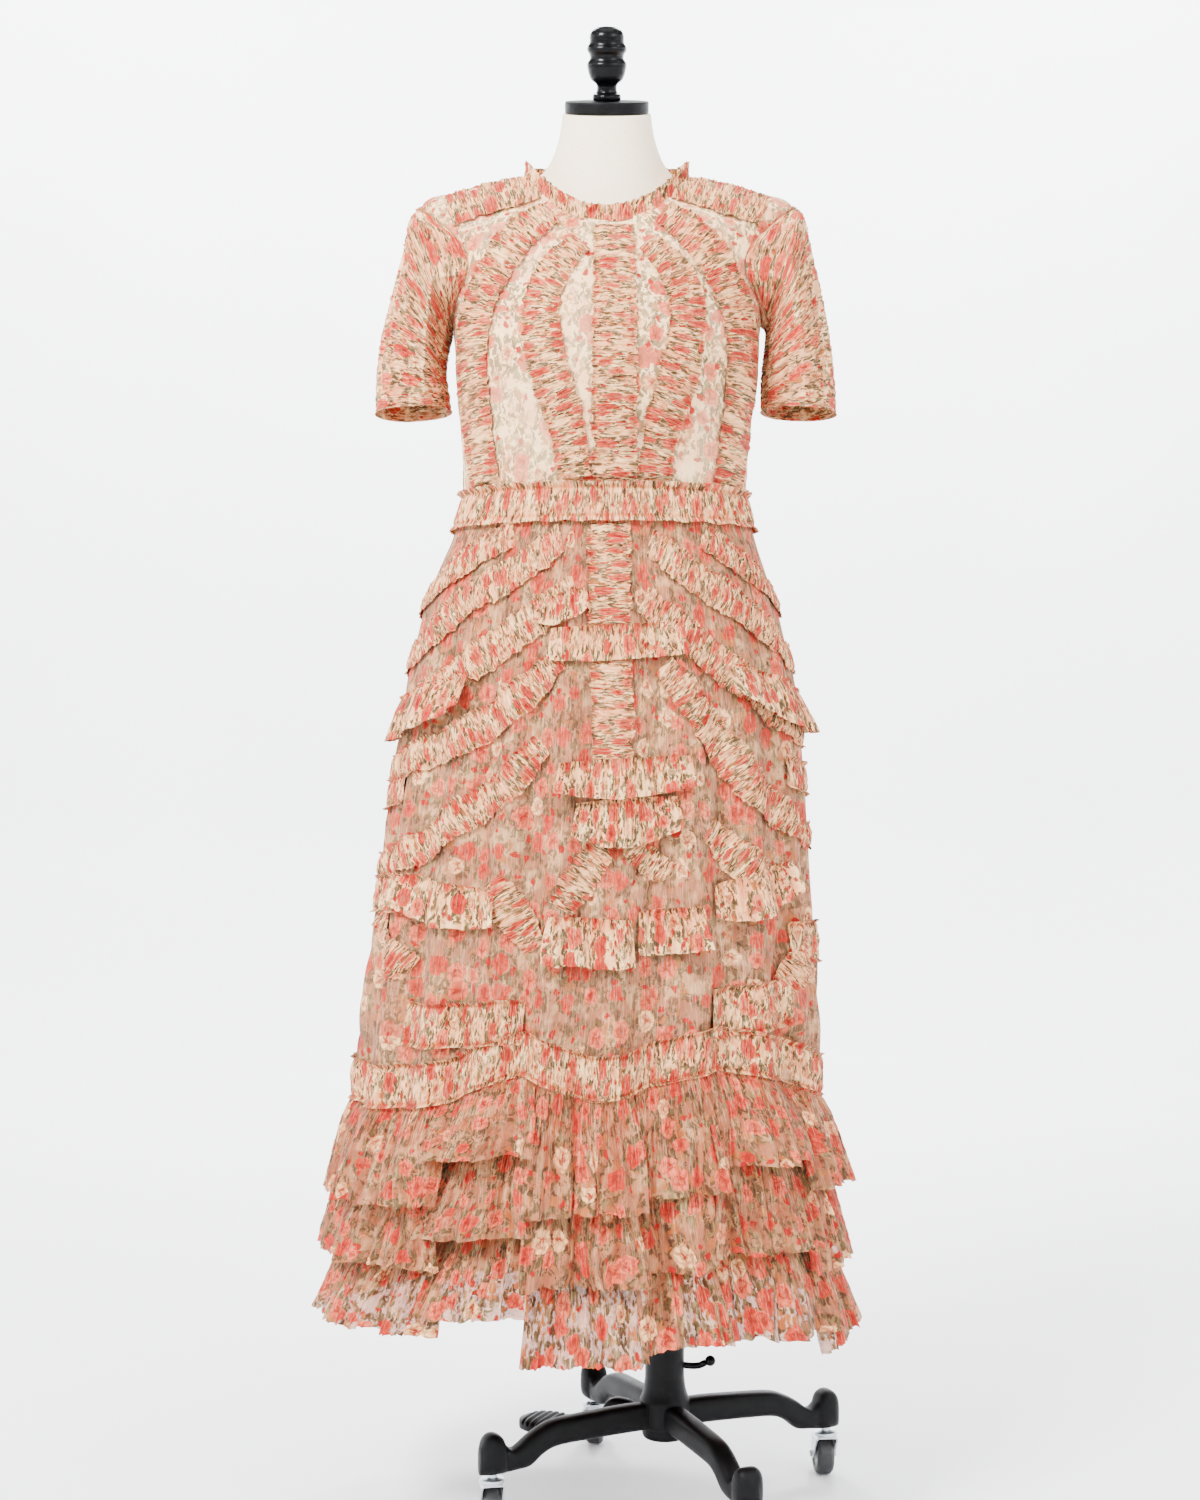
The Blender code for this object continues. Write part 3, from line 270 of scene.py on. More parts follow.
finishes = {
    "ruched": tulleMaterial("tulleRuched", tint(252, 200, 142), 1.0, 0.85),
    "inset": tulleMaterial("tulleInset", tint(250, 206, 154), 0.82, 0.35, patchy=0.8, faded=0.15),
    "plain": tulleMaterial("tullePlain", tint(232, 172, 126), 0.9, 0.5, patchy=0.6),
    "sleeve": tulleMaterial("tulleSleeve", tint(226, 164, 116), 1.0, 0.85, patchy=0.7),
    # the skirt and tier grounds are darker than the bodice's: partly their own cloth, and partly painted shade
    # of the light falling off down the figure
    "skirt": tulleMaterial("tulleSkirt", tint(152, 100, 72), 0.75, 0.75, patchy=0.25),
    "tier": tulleMaterial("tulleTier", tint(158, 98, 68), 0.9, 0.85, patchy=0.22, sheer=0.25),
    "linen": linenMaterial("formLinen"),
    "castBlack": hardMaterial("castBlack", tint(6, 6, 7), tint(16, 16, 17), 0.42, 0.0005, grain=420,
                              gloss=0.10),
    "glossBlack": hardMaterial("glossBlack", tint(5, 5, 6), tint(10, 10, 11), 0.24, 0.0001, gloss=0.12),
    "zinc": hardMaterial("zincPlate", tint(196, 201, 206), tint(160, 163, 166), 0.30, 0.0001, metal=1.0),
    "rubber": hardMaterial("wheelRubber", tint(26, 26, 27), tint(48, 47, 45), 0.55, 0.0002),
    "hub": hardMaterial("wheelHub", tint(120, 122, 124), tint(92, 92, 92), 0.45, 0.0001),
}
print("materials made")


# Grids into meshes


def gridOf(first, second):
    # two lists as grids: the first runs down the rows, the second across the columns
    return np.meshgrid(first, second, indexing="ij")


def circle(count):
    # even angles all the way round
    return np.arange(count) * math.tau / count


def quads(rows, columns, wrap):
    # numbers of the four corners of every face; a closed grid's last column meets its first
    r, c = gridOf(np.arange(rows - 1), np.arange(columns if wrap else columns - 1))
    beside = (c + 1) % columns
    corners = [r * columns + c, r * columns + beside, (r + 1) * columns + beside, (r + 1) * columns + c]
    return np.stack(corners, -1).reshape(-1, 4)


def meshObject(name, points, corners, material):
    # a smooth-shaded object in the scene, of points and the four corners of each face
    mesh = bpy.data.meshes.new(name)
    mesh.from_pydata(points.reshape(-1, 3).tolist(), [], corners.tolist())
    mesh.shade_smooth()
    mesh.materials.append(material)
    made = bpy.data.objects.new(name, mesh)
    bpy.context.scene.collection.objects.link(made)
    return made


def gridObject(name, points, finish, wrap=True, centre=(0.02, 0.0), cloth=None, gather=0.0, crest=1.0):
    # quads between neighbouring points, facing away from a centre line: upright, or a point for each row
    rows, columns = points.shape[:2]
    if cloth is None:
        cloth = np.zeros((rows, columns + wrap, 2))
    corners, places = quads(rows, columns, wrap), quads(rows, cloth.shape[1], False)
    flat = points.reshape(-1, 3)
    if isinstance(centre, tuple):
        middle = np.column_stack([np.full((len(flat), 2), centre), flat[:, 2]])
    else:
        middle = np.repeat(centre, columns, axis=0)
    normal = np.cross(flat[corners[:, 2]] - flat[corners[:, 0]], flat[corners[:, 3]] - flat[corners[:, 1]])
    if (normal * (flat - middle)[corners[:, 0]]).sum() < 0:
        corners, places = corners[:, ::-1], places[:, ::-1]
    made = meshObject(name, points, corners, finishes[finish])
    layer = made.data.uv_layers.new(name="cloth")
    layer.data.foreach_set("uv", cloth.reshape(-1, 2)[places.reshape(-1)].reshape(-1).astype(np.float32))
    # gather and crest are kept on every point; the tulle materials paint shade where crest is low and a
    # highlight where it is high
    for label, value in (("gather", gather), ("crest", crest)):
        share = made.data.attributes.new(label, "FLOAT", "POINT")
        share.data.foreach_set("value", np.broadcast_to(value, (rows, columns)).reshape(-1).astype(np.float32))
    return made


def place(made, body, node=None):
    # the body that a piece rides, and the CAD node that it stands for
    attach(made, body)
    if node:
        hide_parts(node)


def clothMap(along, across):
    # flat cloth: its place along the folds and across them
    return np.stack(np.broadcast_arrays(along, across), -1)


def clothPiece(name, points, cloth, node=None, finish="ruched", gather=1.0, crest=1.0,
               wrap=False, centre=(0.02, 0.0)):
    # a cloth grid on the form, with its flat size and how it is held
    made = gridObject(name, points, finish, wrap, centre, cloth, gather, crest)
    place(made, form, node)


def unit(v):
    # a vector over its length
    return v / np.maximum(np.linalg.norm(v, axis=-1, keepdims=True), 1e-12)


def smoothRows(table, at):
    # every column of a table read between its rows on a Catmull-Rom curve
    table = np.asarray(table, float)
    last = len(table) - 1
    at = np.clip(np.asarray(at, float), 0, last)
    base = np.minimum(at.astype(int), last - 1)
    t = (at - base)[..., None]
    before, here = table[np.maximum(base - 1, 0)], table[base]
    there, after = table[base + 1], table[np.minimum(base + 2, last)]
    return here + 0.5 * t * (there - before + t * (2 * before - 5 * here + 4 * there - after
                             + t * (3 * (here - there) + after - before)))


def softNoise(a, b, seed, waves=6):
    # a few sine waves in random directions added up, about -1 to 1
    rng = np.random.default_rng(seed)
    total = np.zeros(np.broadcast(a, b).shape)
    for turn, phase, rate in zip(rng.uniform(0, math.tau, waves), rng.uniform(0, math.tau, waves),
                                 rng.uniform(0.8, 2.2, waves)):
        total = total + np.sin(rate * (a * math.cos(turn) + b * math.sin(turn)) * math.tau + phase)
    return total / math.sqrt(waves) * 0.85


def gathers(across, along, pitch, seed):
    # rounded ridges with sharp troughs: |sin| of the place across the folds, which wanders slowly along them
    wander = 0.55 * softNoise(across / (5 * pitch), along / (9 * pitch), seed)
    wander = wander + 0.22 * softNoise(across / (2 * pitch), along / (4 * pitch), seed + 1)
    ridge = np.abs(np.sin(math.pi * (across / pitch + wander)))
    return ridge * (0.72 + 0.28 * softNoise(across / (3 * pitch), along / (5 * pitch), seed + 2))


def bump(distance, width):
    # a bell: exp of minus the square of distance over width
    return np.exp(-(distance / width) ** 2)


def arcLength(points, axis=0):
    # running length along one way of a grid
    step = np.linalg.norm(np.diff(points, axis=axis), axis=-1)
    start = np.zeros_like(np.take(step, [0], axis=axis))
    return np.concatenate([start, np.cumsum(step, axis=axis)], axis=axis)


# Body of the garment, as loops round the figure from the waist seam to the neckline

body = {
    "roundness": 2.15, "middle": 0.024,
    # millimetres: side height, front height, back height, half width, front depth, back depth, middle x
    "rows": metres([
        (1183.5, 1183.5, 1183.5, 165.5, 122, 100, 21.5), (1230, 1230, 1230, 166.5, 131, 103, 22),
        (1285, 1285, 1285, 172, 144, 108, 23), (1331, 1329, 1333, 176.8, 147, 113, 24),
        (1385, 1372, 1390, 180, 138, 118, 24), (1430, 1405, 1440, 188, 127, 121, 24),
        (1480, 1435, 1485, 202, 115, 115, 24), (1524, 1462, 1525, 215.5, 100, 100, 24),
        (1543, 1476, 1552, 158, 91, 88, 24), (1556, 1487, 1572, 98, 84, 78, 24)]),
    "armpitRow": 4, "shoulderRow": 7, "neckRow": 9, "armholeCut": math.radians(26), "leastCut": 0.0018,
}


def loopPoint(angle, values, rise=2.0):
    # |x/half|^n + |y/depth|^n = 1 at a polar angle; height runs from the side's to the front's or back's
    sideZ, frontZ, backZ, half, front, back, x = np.moveaxis(values, -1, 0)
    n = body["roundness"]
    across, ahead = np.cos(angle), np.sin(angle)
    depth = np.where(ahead < 0, front, back)
    reach = (np.abs(across / half) ** n + np.abs(ahead / depth) ** n) ** (-1 / n)
    turn = np.abs(reach * ahead / depth) ** rise
    z = sideZ + (np.where(ahead < 0, frontZ, backZ) - sideZ) * turn
    return np.stack([x + reach * across, reach * ahead, z], axis=-1)


def bodyPoint(angle, row):
    # the loop at a row, read smoothly between the rows of the table
    return loopPoint(angle, smoothRows(body["rows"], row))


def bodyNormal(angle, row, step=0.02):
    # cross product of two short steps on the body, one round it and one up it
    across = bodyPoint(angle + step, row) - bodyPoint(angle - step, row)
    upward = bodyPoint(angle, row + step) - bodyPoint(angle, row - step)
    return unit(np.cross(across, upward))


def armholeAngle(row):
    # how far the armhole cuts in from the side: sine of the way up it, to the power 0.7
    t = np.clip((row - body["armpitRow"]) / (body["shoulderRow"] - body["armpitRow"]), 0, 1)
    return np.maximum(body["armholeCut"] * np.sin(math.pi * t) ** 0.7, body["leastCut"])


bodice = {
    "rows": 100, "lift": 0.0004, "seamGap": 0.003, "crease": 0.0009, "seamCrease": 0.0007, "creasePitch": 0.016,
    # node, finish, start and end angle, columns
    "panels": {
        "bodiceFront": ("bodice_front", "inset", -math.pi, 0.0, 170),
        "bodiceBackRight": ("bodice_back_right", "plain", 0.0, math.pi / 2, 84),
        "bodiceBackLeft": ("bodice_back_left", "plain", math.pi / 2, math.pi, 84)},
}


def addBodicePanel(name, node, finish, start, end, columns, seed, kit=bodice):
    # the body's own surface between two seams, pushed out by soft noise and by slanting gathers near the seams
    row, share = gridOf(np.linspace(0, body["neckRow"], kit["rows"]), np.linspace(0, 1, columns))
    inset = armholeAngle(row)
    first = start + (inset if start in (-math.pi, 0.0) else kit["seamGap"])
    last = end - (inset if end in (0.0, math.pi) else kit["seamGap"])
    angle = first + share * (last - first)
    points = bodyPoint(angle, row)
    down, across = arcLength(points, 0), arcLength(points, 1)
    across = across - across.mean(axis=1, keepdims=True)
    crease = softNoise(across / 0.09 + down / 0.16, down / 0.11, seed) * kit["crease"]
    for edge, slant, more in ((0.0, 0.3, 5), (1.0, -0.3, 8)):
        slanting = gathers(down + slant * across, across, kit["creasePitch"], seed + more)
        crease = crease + kit["seamCrease"] * slanting * bump(share - edge, 0.16)
    points = points + (kit["lift"] + crease)[..., None] * bodyNormal(angle, row)
    clothPiece(name, points, clothMap(down + 0.37 * seed, across * 1.05 + 0.21 * seed), node, finish,
               gather=0.35)


for number, (name, values) in enumerate(bodice["panels"].items()):
    addBodicePanel(name, *values, 1 + number)
print("bodice made")


# Ruched strips: gathered along both long edges, which end in a narrow raw frill

ruching = {
    "lift": 0.0014, "pitch": 0.0060, "ridge": 0.0027, "finePitch": 0.0033, "fineRidge": 0.0010, "puff": 0.0009,
    "puffWidth": 0.0035, "edge": 0.0028, "edgePitch": 0.0050, "edgeRise": 0.0030, "fullness": 2.7,
    "step": 0.0013, "across": 21, "crowding": 1.35, "ends": 0.004,
}


def ruchedRelief(along, across, width, seed, kit=ruching):
    # height over the panel and how near to a crest: ridges pinned at both stitch lines, a frill outside them
    inside = width / 2 - kit["edge"] - np.abs(across)
    puff = 1 - np.exp(-np.maximum(inside, 0) / kit["puffWidth"])
    broad = gathers(along, across, kit["pitch"], seed)
    small = gathers(along, across, kit["finePitch"], seed + 31)
    ridges = kit["ridge"] * broad + kit["fineRidge"] * small
    edge = gathers(along, across, kit["edgePitch"], seed + 17)
    outside = np.clip(-inside / kit["edge"], 0, 1)
    frill = kit["edgeRise"] * outside * (0.45 + 0.85 * edge)
    # crest sets the painted shade: darkest in the troughs and near the stitch lines, where the puff is low
    crest = np.where(inside > 0, np.clip(0.25 + 0.65 * broad + 0.25 * small, 0, 1) * (0.55 + 0.45 * puff),
                     0.45 + 0.5 * edge * outside)
    return kit["lift"] + (0.25 + 0.75 * puff) * ridges * (inside > 0) + kit["puff"] * puff + frill, crest


def ruchedStrip(name, surface, line, seed, node=None, kit=ruching):
    # a strip along a smooth line of (x, height, width) rows, lifted off what it lies on by its ruching
    fine = np.linspace(0, len(line) - 1, 240)
    rough = smoothRows(line, fine)
    length = arcLength(surface(rough[:, 0], rough[:, 1])[0])
    whole = length[-1]
    steps = int(whole / kit["step"])
    row = smoothRows(line, np.interp(np.linspace(0, whole, steps), length, fine))
    ahead = unit(np.gradient(row[:, :2], axis=0))
    sideways = np.stack([-ahead[:, 1], ahead[:, 0]], -1)
    way = np.linspace(-1, 1, kit["across"])
    way = np.sign(way) * (1 - (1 - np.abs(way)) ** kit["crowding"])
    uneven = softNoise(np.linspace(0, whole / 0.05, steps), 0, seed)[:, None]
    across = row[:, 2:3] * (0.5 + 0.02 * uneven) * way
    flat = row[:, None, :2] + sideways[:, None] * across[..., None]
    points, normal = surface(flat[..., 0], flat[..., 1])
    along = np.repeat(np.linspace(0, whole, steps)[:, None], kit["across"], axis=1)
    lift, crest = ruchedRelief(along, across, row[:, 2:3], seed)
    lift = lift * np.clip(np.minimum(along, whole - along) / kit["ends"], 0.25, 1)
    jitter = (0.0010 * softNoise(along / 0.006, across / 0.02, seed + 3)
              + 0.0016 * softNoise(along / 0.021, across / 0.05, seed + 4)) * np.abs(way) ** 4
    points = points + lift[..., None] * normal + jitter[..., None] * unit(np.gradient(points, axis=1))
    clothPiece(name, points, clothMap(across + 0.013 * seed, along * kit["fullness"] + 0.29 * seed), node,
               crest=crest)


def onBodice(x, z):
    # points and normals of the bodice front under (x, height), found by halving between body rows
    low, high = np.zeros_like(x), np.full_like(x, float(body["neckRow"]))
    n = body["roundness"]
    for _ in range(24):
        row = (low + high) / 2
        values = smoothRows(body["rows"], row)
        share = np.clip(np.abs(x - values[..., 6]) / values[..., 3], 0, 0.995)
        forward = (1 - share ** n) ** (1 / n)
        height = values[..., 0] + (values[..., 1] - values[..., 0]) * forward ** 2
        low, high = np.where(height < z, row, low), np.where(height < z, high, row)
    angle = np.arctan2(-values[..., 4] * forward, x - values[..., 6])
    return bodyPoint(angle, row), bodyNormal(angle, row)


bodiceStrips = {
    "centreShift": 0.008,
    # millimetres: distance from the middle, height, width
    "centre": [(0, 1482, 44), (0, 1400, 47), (0, 1300, 49), (0, 1187, 49)],
    "innerRay": [(36, 1458, 24), (62, 1430, 36), (80, 1390, 41), (79, 1342, 43), (69, 1297, 43), (54, 1253, 41),
                 (46, 1209, 38), (44, 1187, 38)],
    "yokeBand": [(62, 1498, 30), (96, 1470, 42), (126, 1428, 43), (146, 1385, 40), (152, 1335, 37),
                 (149, 1280, 36), (142, 1225, 35), (137, 1187, 35)],
    "shoulderBand": [(76, 1531, 30), (108, 1527, 44), (146, 1516, 47), (182, 1503, 42)],
}


def addBodiceStrips(kit=bodiceStrips):
    # each table mirrored about the middle, which the centre strip and the rays stand a little beside
    def line(shape, side, shift):
        return metres(kit[shape]) * [side, 1, 1] + [body["middle"] + shift, 0, 0]

    ruchedStrip("stripBodice", onBodice, line("centre", 1, kit["centreShift"]), 11, "strip_bodice")
    for side, name in ((-1, "left"), (1, "right")):
        for shape, node, shift, seed in (("innerRay", "ray_inner", kit["centreShift"], 21),
                                         ("yokeBand", "yoke_band", 0.0, 31),
                                         ("shoulderBand", "shoulder_band", 0.0, 41)):
            ruchedStrip(f"{shape}{name.title()}", onBodice, line(shape, side, shift), seed + side,
                        f"{node}_{name}")


addBodiceStrips()
print("bodice strips made")


# Sleeves: ruched strips and smooth strips in turn, sewn with narrow raw seams, gathered at the hem

sleeve = {
    # millimetres: outer arm line x and height, underarm line x and height, half depth, from the body's middle
    "rings": metres([(226, 1512, 185, 1380, 75), (240, 1470, 185.5, 1365, 74), (254, 1410, 185.5, 1342, 69),
                     (262.5, 1350, 185, 1315, 63), (268, 1278, 183.5, 1283, 56)]),
    "seam": 0.0006, "pairs": 6, "firstSeam": 0.18, "ruchedShare": 0.64, "rows": 150, "columns": 188,
    "length": 0.19, "girth": 0.30, "fullness": 2.6, "ridge": 0.0026, "pitch": 0.0060, "fineRidge": 0.0009,
    "finePitch": 0.0033, "smooth": 0.0006, "frill": 0.0034, "frillPitch": 0.0044, "frillWidth": 0.0012,
    "hemBand": 0.014, "hemRidge": 0.0016, "hemPitch": 0.0062, "hemStitch": 0.0010, "drape": 0.0035,
}


def ringNormals(points, centre):
    # cross product of the two directions of a closed grid, turned away from the centres of its rings
    normal = unit(np.cross(np.roll(points, -1, 1) - np.roll(points, 1, 1), np.gradient(points, axis=0)))
    return normal * np.where((normal * (points - centre)).sum(-1, keepdims=True) < 0, -1, 1)


def addSleeve(name, side, seed, node, kit=sleeve):
    # rings from the armhole's own edge to the hem, each an oval between an outer and an underarm line;
    # the place round the arm chooses ruched or smooth, and every seam between them carries a frill
    turn = circle(kit["columns"])
    down = 1 - np.abs(turn / math.pi - 1)
    row = body["shoulderRow"] + (body["armpitRow"] - body["shoulderRow"]) * down
    cut = armholeAngle(row) * np.where(turn <= math.pi, -1, 1)
    rings = [bodyPoint(cut, row) + np.array([kit["seam"], 0, 0])]
    for overX, overZ, underX, underZ, depth in kit["rings"]:
        over = np.array([body["middle"] + overX, 0, overZ])
        under = np.array([body["middle"] + underX, 0, underZ])
        rings.append((over + under) / 2 + np.outer(np.cos(turn), (over - under) / 2)
                     + np.outer(-np.sin(turn) * depth, [0, 1, 0]))
    at = np.linspace(0, len(rings) - 1, kit["rows"])
    points = smoothRows(np.stack(rings).reshape(len(rings), -1), at).reshape(kit["rows"], -1, 3)
    centre = points.mean(axis=1, keepdims=True)
    normal = ringNormals(points, centre)

    length = np.linspace(0, kit["length"], kit["rows"])[:, None] + 0 * turn
    arc = np.broadcast_to(turn / math.tau * kit["girth"], length.shape)
    strip = np.broadcast_to((turn / math.tau * kit["pairs"] + kit["firstSeam"]) % 1.0, length.shape)
    nearest = np.minimum(np.minimum(strip, 1 - strip), np.abs(strip - kit["ruchedShare"]))
    fromSeam = nearest * kit["girth"] / kit["pairs"]
    ruched = (strip < kit["ruchedShare"]) * 1.0
    puff = 1 - np.exp(-fromSeam / 0.003)
    broad = gathers(length, arc, kit["pitch"], seed)
    small = gathers(length, arc, kit["finePitch"], seed + 1)
    relief = ruched * puff * (kit["ridge"] * broad + kit["fineRidge"] * small)
    relief = relief + (1 - ruched) * kit["smooth"] * softNoise(length / 0.03, arc / 0.02, seed + 2)
    seam = bump(fromSeam, kit["frillWidth"])
    relief = relief + kit["frill"] * seam * (0.4 + 0.8 * gathers(length, arc, kit["frillPitch"], seed + 3))
    # crest sets the painted shade in the ruched troughs, and a painted highlight on the seam frills
    crest = np.clip((0.3 + 0.75 * broad) * ruched + (1 - ruched) * 0.92 + 0.5 * seam, 0, 1)
    fromHem = length[-1:] - length
    hem = bump(fromHem, kit["hemBand"])
    hemRelief = kit["hemRidge"] * gathers(arc, length, kit["hemPitch"], seed + 4)
    relief = relief * (1 - hem) + hem * (hemRelief + kit["hemStitch"] * bump(fromHem - 0.011, 0.0015))
    front = np.broadcast_to(np.cos(turn), length.shape)
    drape = kit["drape"] * softNoise(length / 0.20, front / 2.2, seed + 6, 4) * np.clip(length / 0.05, 0, 1)
    pinned = np.clip(length / 0.006, 0.3, 1)
    points = points + ((relief * pinned) + drape)[..., None] * normal
    points[-1] += 0.0012 * normal[-1]
    if side < 0:
        mirror, shift = np.array([-1, 1, 1]), np.array([2 * body["middle"], 0, 0])
        points, centre = points * mirror + shift, centre * mirror + shift
    wideTurn = np.linspace(0, kit["girth"], kit["columns"] + 1)
    cloth = clothMap(wideTurn + 0.17 * seed, length[:, :1] * kit["fullness"] + 0.31 * seed)
    clothPiece(name, points, cloth, node, finish="sleeve", gather=np.clip(ruched + hem, 0.25, 1), crest=crest,
               wrap=True, centre=centre.reshape(-1, 3))


addSleeve("sleeveRight", 1, 51, "sleeve_right")
addSleeve("sleeveLeft", -1, 61, "sleeve_left")
print("sleeves made")


# Collar: a short ring on the neckline, gathered, that leans in and rolls out at its edge

collar = {"rise": 0.021, "lean": 0.0105, "pleat": 0.0042, "pitch": 0.0068, "finePitch": 0.0030, "columns": 640,
          "rows": 15, "radius": 0.090, "fullness": 2.0}


def addCollar(kit=collar):
    # height times the way up; out = pleats that grow upwards, less a lean that turns back at the edge
    angle = circle(kit["columns"])
    t = np.linspace(0, 1, kit["rows"])[:, None]
    foot = bodyPoint(angle, np.full(kit["columns"], float(body["neckRow"])))
    out = unit((foot - np.array([body["middle"], 0, 0])) * np.array([1, 1, 0]))
    arc = angle * kit["radius"]
    pleats = gathers(arc[None, :], t * 0.02, kit["pitch"], 71) * (0.25 + t)
    fine = gathers(arc[None, :], t * 0.02, kit["finePitch"], 72) * 0.3
    height = kit["rise"] * t * (1 + 0.06 * softNoise(arc / 0.011, 0, 73))
    inward = kit["lean"] * t ** 0.8 - kit["pleat"] * t ** 2 * 0.9
    push = kit["pleat"] * (pleats + fine) * (0.35 + 0.65 * t) + 0.0012 - inward
    points = foot[None] + up * (height[..., None] - 0.0015) + push[..., None] * out[None]
    wideArc = np.linspace(0, math.tau * kit["radius"], kit["columns"] + 1)
    # crest sets the painted shade in the troughs between the pleats
    clothPiece("collarRuffle", points, clothMap(t * 0.022 + 0.4, wideArc * kit["fullness"]), "collar_ruffle",
               crest=np.clip(0.35 + 0.7 * pleats, 0, 1), wrap=True, centre=(0.024, 0.0))


addCollar()


# Skirt: loops that widen downwards, with soft uneven folds

skirt = {
    # millimetres: height, half width, front depth, back depth, middle x, half depth of the soft folds
    "rows": metres([
        (1143.5, 174, 127, 105, 20.7, 0), (1100, 188, 137, 116, 18.5, 1), (1057, 204, 148, 130, 16.6, 2),
        (978, 221, 160, 148, 16.8, 3.5), (900, 231, 168, 158, 15.5, 5), (800, 241, 177, 170, 12, 6),
        (600, 258, 191, 190, 6.5, 7.4), (525, 264, 196, 196, 2, 7.8), (473, 265, 198, 198, 0, 7.4),
        (320, 260, 193, 195, 0, 5)]),
    "folds": 18, "top": 1.1435, "bottom": 0.32, "columns": 230, "levels": 166, "seam": 0.002, "radius": 0.215,
    "widePleat": 0.0052, "widePitch": 0.047, "midPleat": 0.0018, "midPitch": 0.016, "finePleat": 0.0011,
    "finePitch": 0.0065, "fullness": 1.18,
}


def skirtValues(z):
    # the table's row for a height: heights fall down the table, so both are negated
    rows = skirt["rows"]
    return smoothRows(rows, np.interp(-z, -rows[:, 0], np.arange(len(rows))))


def skirtPoint(angle, z):
    # a loop at each height, pushed out and in by a cosine of uneven folds
    values = skirtValues(z)
    loop = np.stack([z, z, z, values[..., 1], values[..., 2], values[..., 3], values[..., 4]], -1)
    out = np.stack([np.cos(angle), np.sin(angle), np.zeros_like(z)], -1)
    wave = np.cos(skirt["folds"] * angle + 1.1 * np.sin(3 * angle + 0.7))
    return loopPoint(angle, loop) + (values[..., 5] * wave)[..., None] * out


def levelOut(angle, z):
    # level direction out of the skirt: cos over half width and sin over depth, each to the power 1.3
    values = skirtValues(z)
    depth = np.where(np.sin(angle) < 0, values[..., 2], values[..., 3])
    return unit(np.stack([np.cos(angle) / values[..., 1] ** 1.3, np.sin(angle) / depth ** 1.3, 0 * z], -1))


def addSkirtPanel(name, node, start, end, seed, kit=skirt):
    # the skirt's surface pushed out by wide folds that grow downwards, middle ones, and fine ones at the waist
    z = np.linspace(kit["top"], kit["bottom"], kit["levels"])
    height, turn = gridOf(z, np.linspace(start + kit["seam"], end - kit["seam"], kit["columns"]))
    arc = turn * kit["radius"]
    fall = np.clip((kit["top"] - height) / 0.30, 0, 1)
    broad = gathers(arc, height, kit["widePitch"], seed)
    small = gathers(arc, height * 0.6, kit["midPitch"], seed + 1)
    fine = gathers(arc, height * 0.5, kit["finePitch"], seed + 2)
    folds = kit["widePleat"] * fall * (broad - 0.5) + kit["midPleat"] * (small - 0.5) * (0.4 + 0.6 * fall)
    folds = folds + kit["finePleat"] * (fine - 0.5) * np.exp(-fall * 2.2)
    points = skirtPoint(turn, height) + folds[..., None] * levelOut(turn, height)
    # crest sets the painted shade in the troughs between the folds
    clothPiece(name, points, clothMap(height + 0.1 * seed, arc * kit["fullness"] + 0.23 * seed), node,
               "skirt", 0.6, np.clip(0.55 + 0.35 * broad * fall + 0.3 * small, 0, 1))


# Gathered bands: folds run up and down between two stitch lines, with a frill above and below

waistband = {"bottom": 1.1475, "top": 1.1795, "frill": 0.0065, "rows": 26, "columns": 860, "radius": 0.145,
             "fullness": 2.4, "lift": 0.0016, "pinch": 0.75, "ridge": 0.0026, "pitch": 0.0082,
             "fineRidge": 0.0008, "finePitch": 0.0034, "flare": 0.0046, "flareBase": 0.55, "flareWave": 0.6,
             "flarePitch": 0.0075, "raggedEdge": 0.0012}
band = {"frill": 0.0035, "rows": 26, "columnStep": 0.0024, "radius": 0.235, "fullness": 2.4, "lift": 0.0017,
        "pinch": 0.8, "ridge": 0.0030, "pitch": 0.0082, "fineRidge": 0.0009, "finePitch": 0.0036,
        "flare": 0.0036, "flareBase": 0.5, "flareWave": 0.7, "flarePitch": 0.0068, "sway": 0.0018}


def bandRelief(arc, height, low, high, seed, kit):
    # how far a band stands off, its crests, and how far outside the stitch lines: ridges pinched at both lines
    beyond = np.clip(np.maximum(low - height, height - high) / kit["frill"], 0, 1)
    puff = 1 - kit["pinch"] * bump(np.minimum(np.abs(height - low), np.abs(height - high)), 0.0022)
    broad = gathers(arc, height, kit["pitch"], seed)
    fine = gathers(arc, height, kit["finePitch"], seed + 1)
    wave = kit["flareBase"] + kit["flareWave"] * gathers(arc, height, kit["flarePitch"], seed + 2)
    relief = kit["lift"] + puff * (kit["ridge"] * broad + kit["fineRidge"] * fine)
    relief = relief + beyond * kit["flare"] * wave
    # crest sets the painted shade: dark in the troughs and at the pinched stitch lines
    return relief, np.clip(0.3 + 0.8 * broad, 0, 1) * puff, beyond


